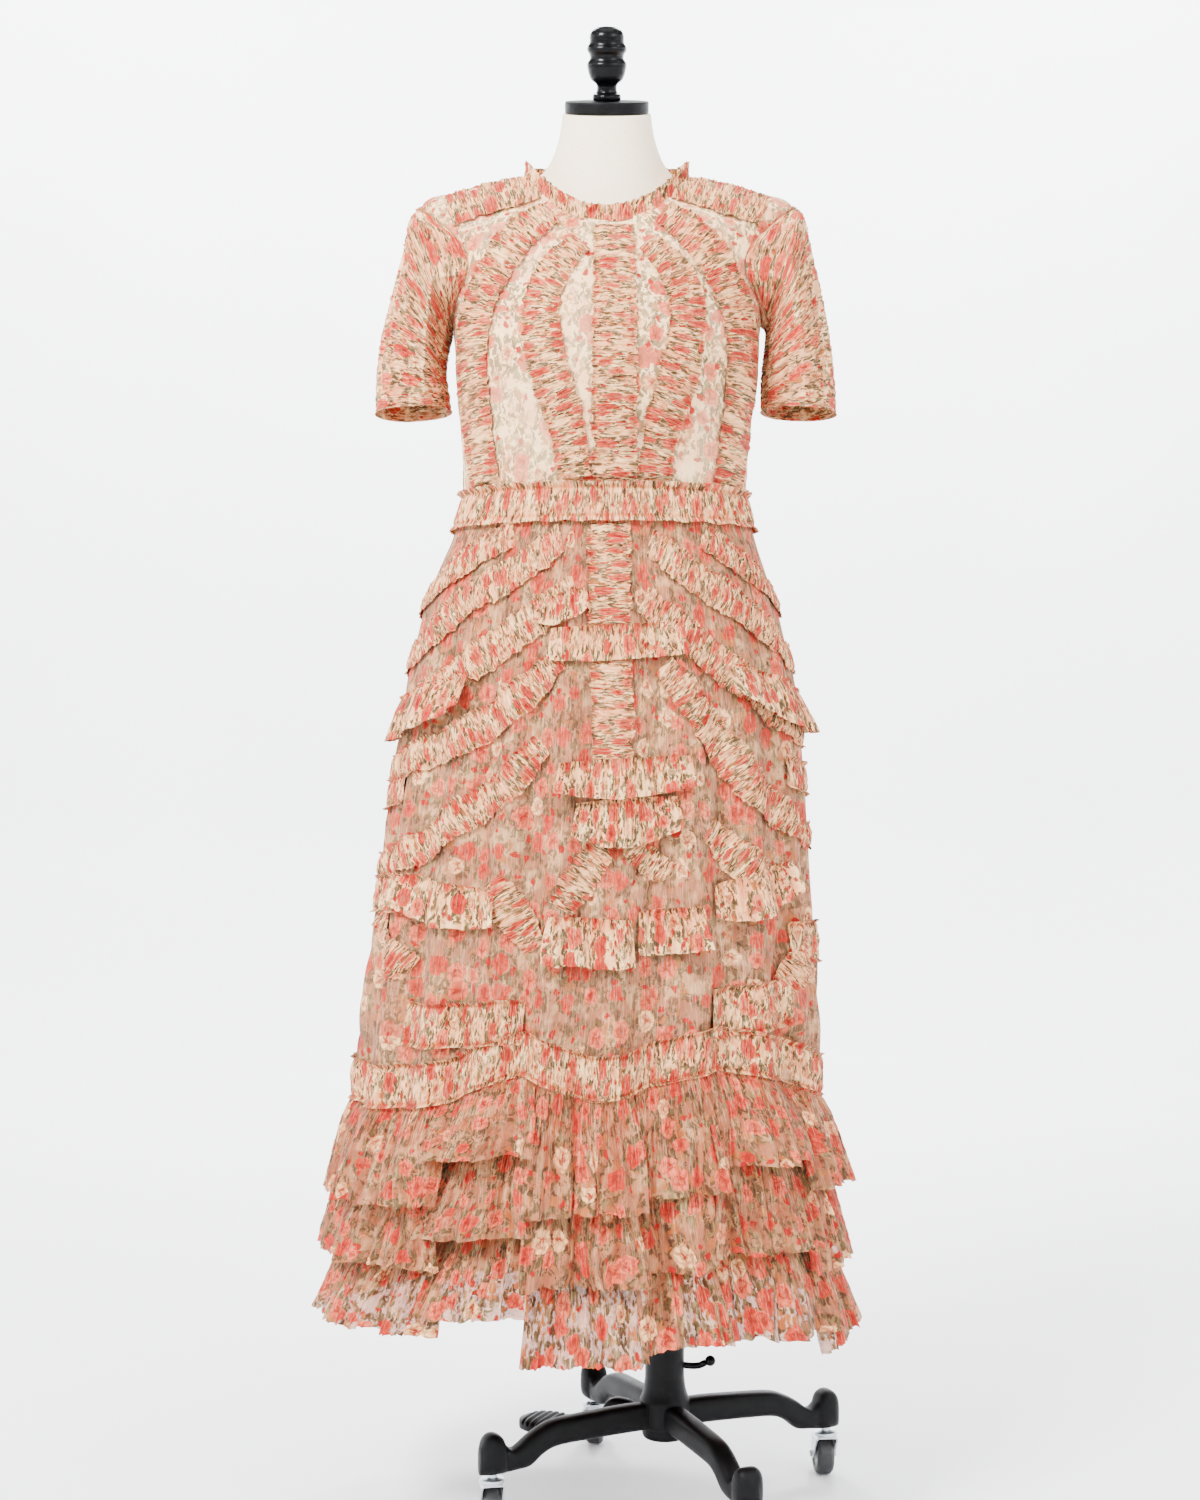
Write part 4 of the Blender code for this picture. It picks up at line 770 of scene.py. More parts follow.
def addWaistband(seed=81, kit=waistband):
    # a ring blended from the skirt's top loop to the bodice's lowest, pushed out by its gathers
    low, high = kit["bottom"], kit["top"]
    angle = circle(kit["columns"]) - math.pi
    z = np.linspace(low - kit["frill"], high + kit["frill"], kit["rows"])
    height, turn = gridOf(z, angle)
    share = np.clip((height - low) / (high - low), 0, 1)[..., None]
    skirtTop = skirtPoint(angle, np.full_like(angle, skirt["top"]))
    points = skirtTop[None] * (1 - share) + bodyPoint(angle, np.zeros_like(angle))[None] * share
    points[..., 2] = height
    arc = turn * kit["radius"]
    relief, crest, beyond = bandRelief(arc, height, low, high, seed, kit)
    points = points + relief[..., None] * levelOut(turn, np.full_like(turn, skirt["top"]))
    points[..., 2] += beyond * kit["raggedEdge"] * softNoise(arc / 0.006, height / 0.02, seed + 3)
    wideArc = np.append(angle, math.pi) * kit["radius"]
    cloth = clothMap(z[:, None], wideArc * kit["fullness"])
    clothPiece("waistGathers", points, cloth, "waistband", crest=crest, wrap=True)


addWaistband()
print("collar and waistband made")

addSkirtPanel("skirtFront", "skirt_front", -math.pi, 0.0, 91)
addSkirtPanel("skirtBack", "skirt_back", 0.0, math.pi, 95)
print("skirt made")


# Ruffles and tiers: gathered at the heading, swinging out to an uneven hem in pleats

hanging = {
    "fullness": 1.7, "radius": 0.235, "columnsRadius": 0.24, "columnStep": 0.0022, "rowStep": 0.0032,
    "lift": 0.0022, "finePitch": 0.0054, "fineRidge": 0.0018, "midPitch": 0.0128, "midRidge": 0.0080,
    "widePitch": 0.041, "frill": 0.004, "frillRidge": 0.0026, "flare": 0.0085, "swing": 0.0055,
    # angle and how far the heading band and the tiers climb there
    "rises": np.array([(-200, 0), (-160, 0), (-135, 0.014), (-112, 0.050), (-104, 0.040), (-92, 0.026),
                       (-80, 0.026), (-68, 0.040), (-52, 0.052), (-30, 0.034), (-8, 0.004), (20, 0), (160, 0)]),
}


def headingRise(angle, kit=hanging):
    # the climb at an angle, brought between -200 and 160 degrees and read smoothly from the table
    degrees = (np.degrees(angle) + 200) % 360 - 200
    rises = kit["rises"]
    return smoothRows(rises, np.interp(degrees, rises[:, 0], np.arange(len(rises))))[..., 1]


def hangingCloth(name, node, start, end, top, drop, spread, pleat, seed, slot="tulle_ruched", finish="ruched",
                 sag=0.0, slope=0.0, climb=0.0, proud=0.0, hem=None, kit=hanging):
    # angles in degrees; out = spread times the way down + pleats that grow from fine gathers into broad waves;
    # the ends swing outwards along the skirt, and hem gives the height of the lower edge at both ends
    a0, a1 = math.radians(start), math.radians(end)
    columns = max(int(abs(a1 - a0) * kit["columnsRadius"] / kit["columnStep"]), 30)
    rows = max(int((drop + kit["frill"]) / kit["rowStep"]), 10)
    angle = np.linspace(a0, a1, columns)
    way = np.linspace(-1, 1, columns)
    t = np.concatenate([[-kit["frill"] / drop], np.linspace(0, 1, rows)])[:, None]
    heading = top + slope * way + climb * headingRise(angle)
    fall = drop - sag * way ** 2
    if hem is not None:
        fall = heading - (hem[0] + (hem[1] - hem[0]) * (way + 1) / 2)
    out = levelOut(angle, heading)
    arc = angle * kit["radius"]
    fall = fall * (1 + 0.020 * softNoise(arc / 0.05, 0, seed + 7) + 0.012 * softNoise(arc / 0.010, 0, seed + 8))
    down = np.clip(t, 0, 1)
    depth = down * drop
    wide = gathers(arc[None], depth * 0.3, kit["widePitch"], seed)
    mid = gathers(arc[None], depth * 0.16, kit["midPitch"], seed + 1)
    fine = gathers(arc[None], depth, kit["finePitch"], seed + 2)
    size = min(1, drop / 0.09)
    push = kit["lift"] + proud + spread * down ** 0.75 + pleat * down * wide * 1.15
    push = push + kit["midRidge"] * down ** 0.6 * mid * size + kit["fineRidge"] * fine * (1 - 0.45 * down)
    push = push + np.where(t < 0, kit["frillRidge"] * fine, 0)
    swing = kit["swing"] * size * down * softNoise(arc[None] / 0.045, depth / 0.2, seed + 3)
    swing = swing + kit["flare"] * size * down * way * np.abs(way)
    beside = np.stack([-out[:, 1], out[:, 0], 0 * arc], -1)
    lower = np.stack([0 * arc, 0 * arc, -fall], -1)
    points = skirtPoint(angle, heading)[None] + t[..., None] * lower[None] + push[..., None] * out[None]
    points = points + swing[..., None] * beside[None]
    # crest sets the painted shade in the troughs between pleats, with more painted shade just under the heading
    crest = np.clip(0.05 + 0.80 * mid + 0.25 * fine + 0.25 * wide * down, 0, 1)
    clothPiece(name, points, clothMap(t * drop * 1.03 + 0.09 * seed, arc * kit["fullness"] + 0.19 * seed), node,
               finish, np.clip(1.05 - 0.75 * down, 0.3, 1), crest * (0.7 + 0.3 * np.clip(5 * down, 0, 1)))


tiers = {
    # heading height, drop, spread at the hem, depth of its pleats
    "tier1": (0.4780, 0.1130, 0.0270, 0.0130), "tier2": (0.4150, 0.1230, 0.0300, 0.0120),
    "tier3": (0.3350, 0.1180, 0.0400, 0.0120),
}
tierSections = {
    # node, start and end angle, further out by, heights of the three hems at the start and at the end
    "LeftOuter": ("left", -200, -132, 0.0, (0.366, 0.298, 0.230), (0.390, 0.322, 0.252)),
    "LeftInner": ("left", -134, -105.3, 0.003, (0.438, 0.354, 0.268), (0.453, 0.367, 0.282)),
    "Centre": ("centre", -104.7, -75.3, 0.004, (0.388, 0.312, 0.230), (0.392, 0.312, 0.233)),
    "Second": ("second", -74.7, -55.3, 0.003, (0.402, 0.322, 0.243), (0.412, 0.330, 0.250)),
    "RightInner": ("right", -54.7, -23, 0.003, (0.436, 0.342, 0.250), (0.428, 0.330, 0.236)),
    "RightOuter": ("right", -25, 20, 0.0, (0.396, 0.302, 0.216), (0.368, 0.292, 0.217)),
    "Back": ("back", 20.3, 159.7, 0.0, (0.365, 0.292, 0.217), (0.365, 0.292, 0.217)),
}

for level, (tier, (top, drop, spread, pleat)) in enumerate(tiers.items()):
    for number, (section, (node, start, end, proud, first, last)) in enumerate(tierSections.items()):
        hangingCloth(f"{tier}{section}", f"{tier}_{node}", start, end, top, drop, spread + proud, pleat,
                     101 + 17 * level + 3 * number, "tulle_tier", "tier", climb=1.0, proud=proud / 2,
                     hem=(first[level], last[level]))
print("tiers made")

ruffles = {
    # node, start and end angle, heading height, drop, spread, pleat, sag of its ends, slope of its heading
    "ruffleUpper": ("ruffle_upper", -110, -57.5, 1.020, 0.036, 0.006, 0.006, 0.004, 0.004),
    "ruffleMiddle": ("ruffle_middle", -97.5, -62.5, 0.828, 0.050, 0.010, 0.007, 0.018, 0.004),
    "ruffleLowLeft": ("ruffle_low_left", -105, -77.5, 0.698, 0.050, 0.008, 0.007, 0.003, -0.002),
    "ruffleLowRight": ("ruffle_low_right", -75, -55, 0.708, 0.046, 0.008, 0.007, 0.003, 0.003),
    "ruffleSideLeft": ("ruffle_side_left", -195, -138, 0.950, 0.050, 0.014, 0.007, 0.020, 0.020),
    "ruffleSideRight": ("ruffle_side_right", -42, 15, 0.960, 0.050, 0.014, 0.007, 0.020, -0.020),
    "scallopCentre": (None, -104, -58, 0.872, 0.040, 0.007, 0.006, 0.010, 0.004),
    "scallopHip": (None, -116, -96, 1.055, 0.030, 0.006, 0.005, 0.010, 0.008),
    "fanLeft": (None, -158, -122, 0.735, 0.046, 0.008, 0.006, 0.014, -0.010),
    "fanRight": (None, -50, -22, 0.745, 0.046, 0.008, 0.006, 0.014, 0.012),
    "backHip": (None, 22, 158, 0.950, 0.050, 0.010, 0.007, 0.010, 0.0),
}

for number, (name, (*values, sag, slope)) in enumerate(ruffles.items()):
    hangingCloth(name, *values, 171 + 5 * number, sag=sag, slope=slope)


# Ruched work on the skirt


def onSkirt(x, z):
    # points and normals of the skirt front under (x, height)
    values = skirtValues(z)
    n = body["roundness"]
    share = np.clip((x - values[..., 4]) / values[..., 1], -0.985, 0.985)
    forward = (1 - np.abs(share) ** n) ** (1 / n)
    angle = np.arctan2(-forward * values[..., 2], share * values[..., 1])
    return skirtPoint(angle, z), levelOut(angle, z)


skirtStrips = {
    # on the front, in millimetres: x, height, width
    "stripSkirt": [(26, 1138, 46), (26, 1080, 47), (26, 1022, 47)],
    "stripSkirtLow": [(28, 985, 44), (29, 930, 44), (30, 872, 44)],
    "petalCentre": [(22, 784, 26), (-2, 748, 38), (-26, 712, 26)],
    "petalRight": [(46, 782, 24), (68, 764, 32), (92, 748, 26)],
    "petalLeft": [(-100, 742, 28), (-78, 706, 38), (-54, 668, 30)],
}
chevronRadius = 0.22
chevrons = {
    # all round: angle, then height and width in millimetres
    "chevronLeft1": [(-110, 1122, 36), (-127, 1084, 42), (-144, 1056, 40), (-161, 1011, 36), (-184, 985, 30)],
    "chevronLeft2": [(-101, 1066, 34), (-118, 1026, 42), (-136, 986, 42), (-157, 944, 36), (-186, 912, 30)],
    "chevronLeft3": [(-106, 988, 32), (-120, 942, 40), (-137, 903, 42), (-161, 873, 36), (-188, 856, 30)],
    "chevronLeft4": [(-111, 892, 30), (-123, 843, 40), (-138, 808, 40), (-152, 772, 36), (-180, 748, 28)],
    "chevronLeft5": [(-132, 1128, 32), (-148, 1106, 38), (-166, 1072, 34), (-186, 1052, 28)],
    "chevronRight1": [(-68, 1118, 34), (-49, 1076, 42), (-32, 1043, 40), (-12, 1000, 34), (8, 985, 28)],
    "chevronRight2": [(-72, 1052, 34), (-55, 1008, 42), (-38, 964, 42), (-19, 919, 36), (8, 900, 30)],
    "chevronRight3": [(-66, 978, 30), (-59, 950, 38), (-47, 892, 44), (-33, 834, 42), (-14, 796, 34),
                      (6, 780, 28)],
    "chevronRight4": [(-44, 1126, 32), (-28, 1098, 36), (-8, 1066, 32), (8, 1052, 26)],
    "chevronRight5": [(-52, 800, 32), (-42, 764, 40), (-30, 736, 34)],
    "sideLeft": [(-172, 700, 36), (-162, 668, 42), (-150, 640, 32)],
    "sideRight": [(-10, 690, 36), (-18, 650, 42), (-28, 618, 32)],
    "backLeft": [(168, 1046, 36), (140, 1006, 42), (112, 980, 36)],
    "backRight": [(12, 1046, 36), (40, 1006, 42), (68, 980, 36)],
}


def onSkirtRound(along, z):
    # the same all round the skirt, with the angle times a radius in place of x
    angle = along / chevronRadius
    return skirtPoint(angle, z), levelOut(angle, z)


for number, (name, rows) in enumerate(skirtStrips.items()):
    ruchedStrip(name, onSkirt, metres(rows), 211 + 7 * number, "strip_skirt" if name == "stripSkirt" else None)
for number, (name, rows) in enumerate(chevrons.items()):
    turned = [(math.radians(angle) * chevronRadius, z / 1000, width / 1000) for angle, z, width in rows]
    ruchedStrip(name, onSkirtRound, turned, 301 + 7 * number)

gatheredBands = {
    # node, start and end angle, heights of the lower and upper edge, rise to the end, share of the tiers' climb
    "headingBand": ("heading_band", -180, 180, 0.484, 0.526, 0.0, 1.0),
    "bandLeft": (None, -150, -112, 0.556, 0.598, -0.004, 0.30),
    "bandRight": (None, -52, -24, 0.575, 0.622, 0.004, 0.0),
    "bandSideLeft": (None, -198, -152, 0.700, 0.736, 0.006, 0.0),
    "bandSideRight": (None, -24, 18, 0.640, 0.682, -0.006, 0.0),
    "bandHipLeft": (None, -196, -160, 0.820, 0.848, 0.010, 0.0),
    "bandHipRight": (None, -22, 16, 0.836, 0.866, -0.010, 0.0),
    "bandBack1": (None, 22, 158, 0.700, 0.735, 0.0, 0.0),
}


def addGatheredBand(name, node, start, end, low, high, rise, climb, seed, kit=band):
    # the skirt's surface between two heights, slanted, pushed out by its gathers; 360 degrees make a ring
    wrap = end - start >= 360
    columns = int(math.radians(end - start) * kit["radius"] / kit["columnStep"])
    angle = np.radians(np.linspace(start, end, columns, endpoint=not wrap))
    z = np.linspace(low - kit["frill"], high + kit["frill"], kit["rows"])
    height, turn = gridOf(z, angle)
    arc = turn * kit["radius"]
    slant = rise * np.linspace(-1, 1, columns)[None] + kit["sway"] * softNoise(arc / 0.07, 0 * turn, seed + 9)
    slant = slant + climb * headingRise(turn)
    relief, crest, _ = bandRelief(arc, height, low, high, seed, kit)
    points = skirtPoint(turn, height + slant) + relief[..., None] * levelOut(turn, height)
    wideArc = np.radians(np.linspace(start, end, columns + wrap)) * kit["radius"]
    clothPiece(name, points, clothMap(z[:, None] + 0.05 * seed, wideArc * kit["fullness"] + 0.27 * seed), node,
               crest=crest, wrap=wrap)


for number, (name, values) in enumerate(gatheredBands.items()):
    addGatheredBand(name, *values, 401 + 11 * number)
print("ruffles, strips and bands made")


# Dress form: linen over the whole figure, a black plate and a turned finial

torso = {
    # millimetres, as the body's rows
    "low": metres([(800, 800, 800, 163, 96, 98, 20), (825, 825, 825, 179, 109, 112, 20),
                   (890, 890, 890, 191, 120, 121, 20), (990, 990, 990, 191, 124, 117, 20),
                   (1100, 1100, 1100, 169, 120, 101, 21)]),
    "neck": metres([(1562, 1496, 1580, 76, 67, 64, 24), (1578, 1528, 1598, 65, 60, 58, 24),
                    (1605, 1575, 1623, 56, 55, 54, 24), (1633, 1615, 1651, 51.7, 51.7, 51.7, 24)]),
    "inset": 0.0022, "columns": 96, "floorShares": (0.02, 0.6), "topShare": 0.3,
}


def addTorso(kit=torso):
    # loops up the hips, the inside of the bodice and the neck, closed by smaller loops at both ends
    angle = circle(kit["columns"])
    inside = body["rows"].copy()
    inside[:, 3:6] -= kit["inset"]
    rings = []
    for table, rise, count in ((kit["low"], 2.0, 26), (inside, 2.0, 60), (kit["neck"], 1.0, 34)):
        for values in smoothRows(table, np.linspace(0, len(table) - 1, count)):
            rings.append(loopPoint(angle, np.broadcast_to(values, (kit["columns"], 7)), rise))
    middle = np.stack(rings).mean(axis=1, keepdims=True)
    floorRings = [middle[0] + (rings[0] - middle[0]) * share for share in kit["floorShares"]]
    topRing = middle[-1] + (rings[-1] - middle[-1]) * kit["topShare"]
    made = gridObject("formTorso", np.stack([*floorRings, *rings, topRing]), "linen", centre=(0.022, 0.0))
    place(made, form, "torso")


def lathe(name, profile, foot, finish, sides=72, lean=0.0):
    # a profile of (radius, height) carried round a vertical axis, then leaned forward
    profile = np.array(profile, float)
    angle = circle(sides)
    points = np.stack([profile[:, :1] * np.cos(angle), profile[:, :1] * np.sin(angle),
                       np.repeat(profile[:, 1:], sides, axis=1)], -1)
    turn = np.array([[1, 0, 0], [0, math.cos(lean), -math.sin(lean)], [0, math.sin(lean), math.cos(lean)]])
    points = points @ turn.T + np.array(foot)
    made = gridObject(name, points, finish, centre=points.mean(axis=1))
    made.data.set_sharp_from_angle(angle=math.radians(38))
    return made


def rounded(corners, radius=0.0012, steps=5):
    # a profile whose inner corners are cut back and joined by short quadratic arcs
    corners = [np.array(c, float) for c in corners]
    out = [corners[0]]
    for before, here, after in zip(corners, corners[1:], corners[2:]):
        back, on = before - here, after - here
        cut = min(radius, np.linalg.norm(back) * 0.45, np.linalg.norm(on) * 0.45)
        first = here + back / max(np.linalg.norm(back), 1e-9) * cut
        last = here + on / max(np.linalg.norm(on), 1e-9) * cut
        for k in range(steps + 1):
            t = k / steps
            out.append((1 - t) ** 2 * first + 2 * t * (1 - t) * here + t ** 2 * last)
    return out + [corners[-1]]


neckTop = {
    "height": 1.6336, "lean": math.atan2(0.036, 0.1034), "radius": 0.0494, "thick": 0.014,
    # millimetres: radius and height over the plate
    "finial": metres([(0.2, 0), (16.5, 0), (16.8, 7), (12, 9.5), (11.4, 16), (12.8, 19.5), (18.5, 23.5),
                      (21.2, 30), (22.2, 35), (23.1, 38.5), (23.1, 42.2), (20.5, 45.5), (19.2, 49),
                      (20.5, 52.5), (23.1, 56.2), (23.1, 60), (20.4, 64), (19.8, 67.5), (20.3, 71.5), (19, 76),
                      (15.5, 80), (9.5, 82.5), (0.2, 83.4)]),
}


def addTop(kit=neckTop):
    # a turned plate on the neck and the finial on it, both leaned forward by one angle
    foot = np.array([body["middle"], 0.0, kit["height"]])
    r, h, lean = kit["radius"], kit["thick"], kit["lean"]
    plate = rounded([(0.0002, 0), (r, 0), (r, h), (0.0002, h)], 0.0022)
    place(lathe("neckPlate", plate, foot, "castBlack", 96, lean), form, "neck_cap")
    seat = foot + (h + 0.0002) * np.array([0, -math.sin(lean), math.cos(lean)])
    finial = lathe("finialTurned", rounded(kit["finial"], 0.0030, 4), seat, "glossBlack", 72, lean)
    place(finial, form, "finial")


addTorso()
addTop()
print("form made")


# Stand: a cast base with four legs, a column and pole, casters, a pedal and a lever

stand = {
    "x": 0.092, "columnRadius": 0.023, "columnTop": 0.520, "bore": 0.0166, "hubBottom": 0.078, "firstLeg": 23.0,
    "casterCircle": 0.2155, "trail": 0.018, "trailAngles": (95.0, 84.0, 100.0, 80.0),
    "names": ("right", "back", "left", "front"), "corner": 0.62, "stations": 90,
    # millimetres: distance out, top, bottom, half width of a leg
    "leg": metres([
        (10, 120, 90, 13), (50, 120.5, 89.5, 13), (100, 118, 88, 13), (138, 115, 85.8, 13),
        (156, 109.5, 79, 13), (172, 101, 67, 12.8), (190, 88.5, 64.5, 12.5), (200, 94, 63.2, 12),
        (205, 103.5, 62.7, 14.5),
        (210, 107.2, 62.7, 16), (215.5, 108.5, 62.7, 16.5), (221.5, 107, 62.7, 15.5), (227, 102, 62.7, 11.8),
        (231, 93, 62.7, 6)]),
}
pedal = {
    "angle": 154.0, "corner": 0.6, "stations": 120, "ribs": (0.132, 0.180, 0.0745), "ribPitch": 0.0085,
    "ribHeight": 0.0016,
    "bar": metres([(29.3, 106, 86, 3.5), (48, 115, 78, 9), (72, 112, 70, 10), (90, 86, 67, 10),
                   (118, 78, 66, 10.5), (128, 78, 64, 21), (145, 79, 64, 29), (164, 79, 64, 29),
                   (182, 78, 64, 20), (190, 76, 66, 8)]),
}


def level(degrees):
    # a level direction
    return np.array([math.cos(math.radians(degrees)), math.sin(math.radians(degrees)), 0])


def castBar(rows, ahead, stations, corner, cap=0.05):
    # sections of |cos|^corner by |sin|^corner along a level direction; the ends are drawn together into caps
    turn = circle(36)
    aside = np.array([-ahead[1], ahead[0], 0])
    row = smoothRows(rows, np.linspace(0, len(rows) - 1, stations))
    wide, tall = (np.sign(v) * np.abs(v) ** corner for v in (np.cos(turn), np.sin(turn)))
    middle, half = (row[:, 1] + row[:, 2]) / 2, (row[:, 1] - row[:, 2]) / 2
    line = np.array([stand["x"], 0, 0]) + row[:, :1] * ahead + middle[:, None] * up
    ring = (wide[None, :, None] * row[:, 3][:, None, None] * aside
            + (tall[None] * half[:, None])[..., None] * up)
    line = np.concatenate([line[:1], line, line[-1:]])
    return line[:, None] + np.concatenate([ring[:1] * cap, ring, ring[-1:] * cap]), line


def joinParts(name, parts):
    # several objects joined into the first, under one name
    bpy.ops.object.select_all(action="DESELECT")
    for part in parts:
        part.select_set(True)
    bpy.context.view_layer.objects.active = parts[0]
    bpy.ops.object.join()
    parts[0].name = name
    parts[0].data.name = name
    return parts[0]


def addBase(kit=stand):
    # four cast bars at right angles to each other and a turned hub and column
    parts = []
    for k in range(4):
        points, line = castBar(kit["leg"], level(kit["firstLeg"] + 90 * k), kit["stations"], kit["corner"])
        parts.append(gridObject(f"leg{k}", points, "castBlack", centre=line))
    r, b, foot, top = kit["columnRadius"], kit["bore"], kit["hubBottom"], kit["columnTop"]
    profile = rounded([(0.0002, foot), (0.0250, foot), (0.0268, 0.0835), (0.0268, 0.0900), (0.0292, 0.0935),
                       (0.0292, 0.1225), (0.0262, 0.1300), (0.0245, 0.1370), (r, 0.1490), (r, top), (b, top),
                       (b, 0.160), (0.0002, 0.160)], 0.0022)
    parts.append(lathe("hub", profile, (kit["x"], 0, 0), "castBlack"))
    place(joinParts("castBase", parts), "base", "base")


def addPole(kit=stand):
    # a turned rod with a flange at its top
    profile = rounded([(0.0002, 0.300), (0.016, 0.300), (0.016, 0.7937), (0.045, 0.7937), (0.045, 0.7997),
                       (0.0002, 0.7997)], 0.0010)
    place(lathe("poleSteel", profile, (kit["x"], 0, 0), "castBlack"), "pole", "pole")


def addPedal(kit=pedal):
    # a cast bar with square ribs across its tread: a clipped sine of the distance out
    ahead = level(kit["angle"])
    points, line = castBar(kit["bar"], ahead, kit["stations"], kit["corner"])
    out = (points - np.array([stand["x"], 0, 0])) @ ahead
    first, last, lowest = kit["ribs"]
    treads = (out > first) & (out < last) & (points[..., 2] > lowest)
    points[..., 2] += treads * kit["ribHeight"] * np.clip(np.sin(out * math.tau / kit["ribPitch"]) * 3, -1, 1)
    place(gridObject("footPedal", points, "castBlack", centre=line), "pedal", "pedal")


def addLever(kit=stand, rod=0.0038, ball=0.0062):
    # a tube along a smooth path that swells into a ball
    root = np.array([kit["x"] + kit["columnRadius"] - 0.0002, 0, 0.1615])
    line = smoothRows(root + metres([(0, 0, 0), (10, 0, -1), (18, -1, 0), (25, -4, 4)]), np.linspace(0, 3, 30))
    bow = np.linspace(0.35, math.pi, 20)
    tip = unit(np.array([1.0, -0.2, 0.45]))
    line = np.concatenate([line, line[-1] + np.outer(1 - np.cos(bow), tip) * ball])
    radius = np.concatenate([np.full(30, rod), np.maximum(ball * np.sin(bow), 0.0001)])
    forward = unit(np.gradient(line, axis=0))
    side = unit(np.cross(forward, up))
    turn = circle(24)[None, :, None]
    around = np.cos(turn) * side[:, None] + np.sin(turn) * np.cross(side, forward)[:, None]
    made = gridObject("heightLever", line[:, None] + radius[:, None, None] * around, "glossBlack", centre=line)
    place(made, "lever", "lever")


caster = {"radius": 0.025, "halfWidth": 0.0105, "gap": 0.0009, "cheek": 0.0022, "top": 0.0576, "low": 0.020,
          "axle": 0.025, "stem": 0.0055, "stemTop": 0.0624, "plateDrop": 0.0045, "plateFront": -0.013,
          "plateRear": 0.016, "cheekHalf": 0.0075, "cheekRound": 0.0055,
          # millimetres: radius and distance off the cheek
          "nut": metres([(0.1, 2.8), (4, 2.8), (4.5, 2.2), (4.5, 0)])}


def casterFrame(k):
    # centre under the leg's end, axle, and the level directions back along the trail and sideways
    centre = np.array([stand["x"], 0, 0]) + stand["casterCircle"] * level(stand["firstLeg"] + 90 * k)
    back = level(stand["trailAngles"][k])
    return centre, centre + stand["trail"] * back + caster["axle"] * up, back, np.array([-back[1], back[0], 0])


def onAxle(profile, axle, back, side, count):
    # a profile of (radius, place along the axle) carried round the axle
    turn = circle(count)
    rim = np.outer(np.cos(turn), back) + np.outer(np.sin(turn), up)
    profile = np.array(profile)
    return axle + profile[:, 1][:, None, None] * side + profile[:, 0][:, None, None] * rim[None]


def addWheel(k, kit=caster):
    # a closed tyre and a dished disc, each a profile carried round the axle
    _, axle, back, side = casterFrame(k)
    w, r = kit["halfWidth"], kit["radius"]
    tyre = [(0.0150, 0.0)] + rounded([
        (0.0150, -w + 0.001), (0.0165, -w), (0.0215, -w), (r, -w + 0.0035), (r, w - 0.0035), (0.0215, w),
        (0.0165, w), (0.0150, w - 0.001)]) + [(0.0150, 0.0)]
    disc = rounded([
        (0.0003, -w + 0.0012), (0.0060, -w + 0.0010), (0.0075, -w + 0.0028), (0.0150, -w + 0.0020),
        (0.0158, -w + 0.001), (0.0158, w - 0.001), (0.0150, w - 0.0020), (0.0075, w - 0.0028),
        (0.0060, w - 0.0010), (0.0003, w - 0.0012)], 0.0006)
    parts = []
    for label, profile, finish in (("tyre", tyre, "rubber"), ("disc", disc, "hub")):
        points = onAxle(profile, axle, back, side, 56)
        middle = np.broadcast_to(axle, (len(points), 3)) if label == "tyre" else points.mean(axis=1)
        made = gridObject(f"{label}{k}", points, finish, centre=middle)
        made.data.set_sharp_from_angle(angle=math.radians(40))
        parts.append(made)
    name = stand["names"][k]
    place(joinParts(f"casterWheel{name.title()}", parts), f"roller_{name}", f"wheel_{name}")


def addYoke(k, centre, back, side, top, reach, kit=caster):
    # a pressed strip bent over the wheel, wide at the plate and narrow and round at the axle
    outline = np.array(rounded([(-reach, kit["low"] - 0.001), (-reach, top), (reach, top),
                                (reach, kit["low"] - 0.001)], 0.0045, 7))
    length = arcLength(outline)
    even = np.linspace(0, length[-1], 60)
    across, height = np.interp(even, length, outline[:, 0]), np.interp(even, length, outline[:, 1])
    low01 = np.clip((top - height) / (top - kit["low"]), 0, 1)
    front = kit["plateFront"] + (stand["trail"] - kit["cheekHalf"] - kit["plateFront"]) * low01 ** 0.9
    rear = kit["plateRear"] + (stand["trail"] + kit["cheekHalf"] - kit["plateRear"]) * low01 ** 0.9
    share = np.linspace(0, 1, 16)[None]
    way = front[:, None] * (1 - share) + rear[:, None] * share
    round01 = np.sqrt(np.clip(1 - (2 * share - 1) ** 2, 0, 1)) - 1
    drop = round01 * -kit["cheekRound"] * np.clip((kit["low"] + 0.006 - height[:, None]) / 0.006, 0, 1)
    points = centre + across[:, None, None] * side + way[..., None] * back
    points = points + (height[:, None] + drop)[..., None] * up
    yoke = gridObject(f"yoke{k}", points, "zinc", wrap=False,
                      centre=np.repeat((centre + 0.006 * back + 0.035 * up)[None], 60, axis=0))
    sheet = yoke.modifiers.new("sheet", "SOLIDIFY")
    sheet.thickness, sheet.offset = kit["cheek"], 0.0
    edges = yoke.modifiers.new("edges", "BEVEL")
    edges.width, edges.segments, edges.limit_method = 0.0004, 2, "ANGLE"
    bpy.context.view_layer.objects.active = yoke
    for modifier in ("sheet", "edges"):
        bpy.ops.object.modifier_apply(modifier=modifier)
    return yoke


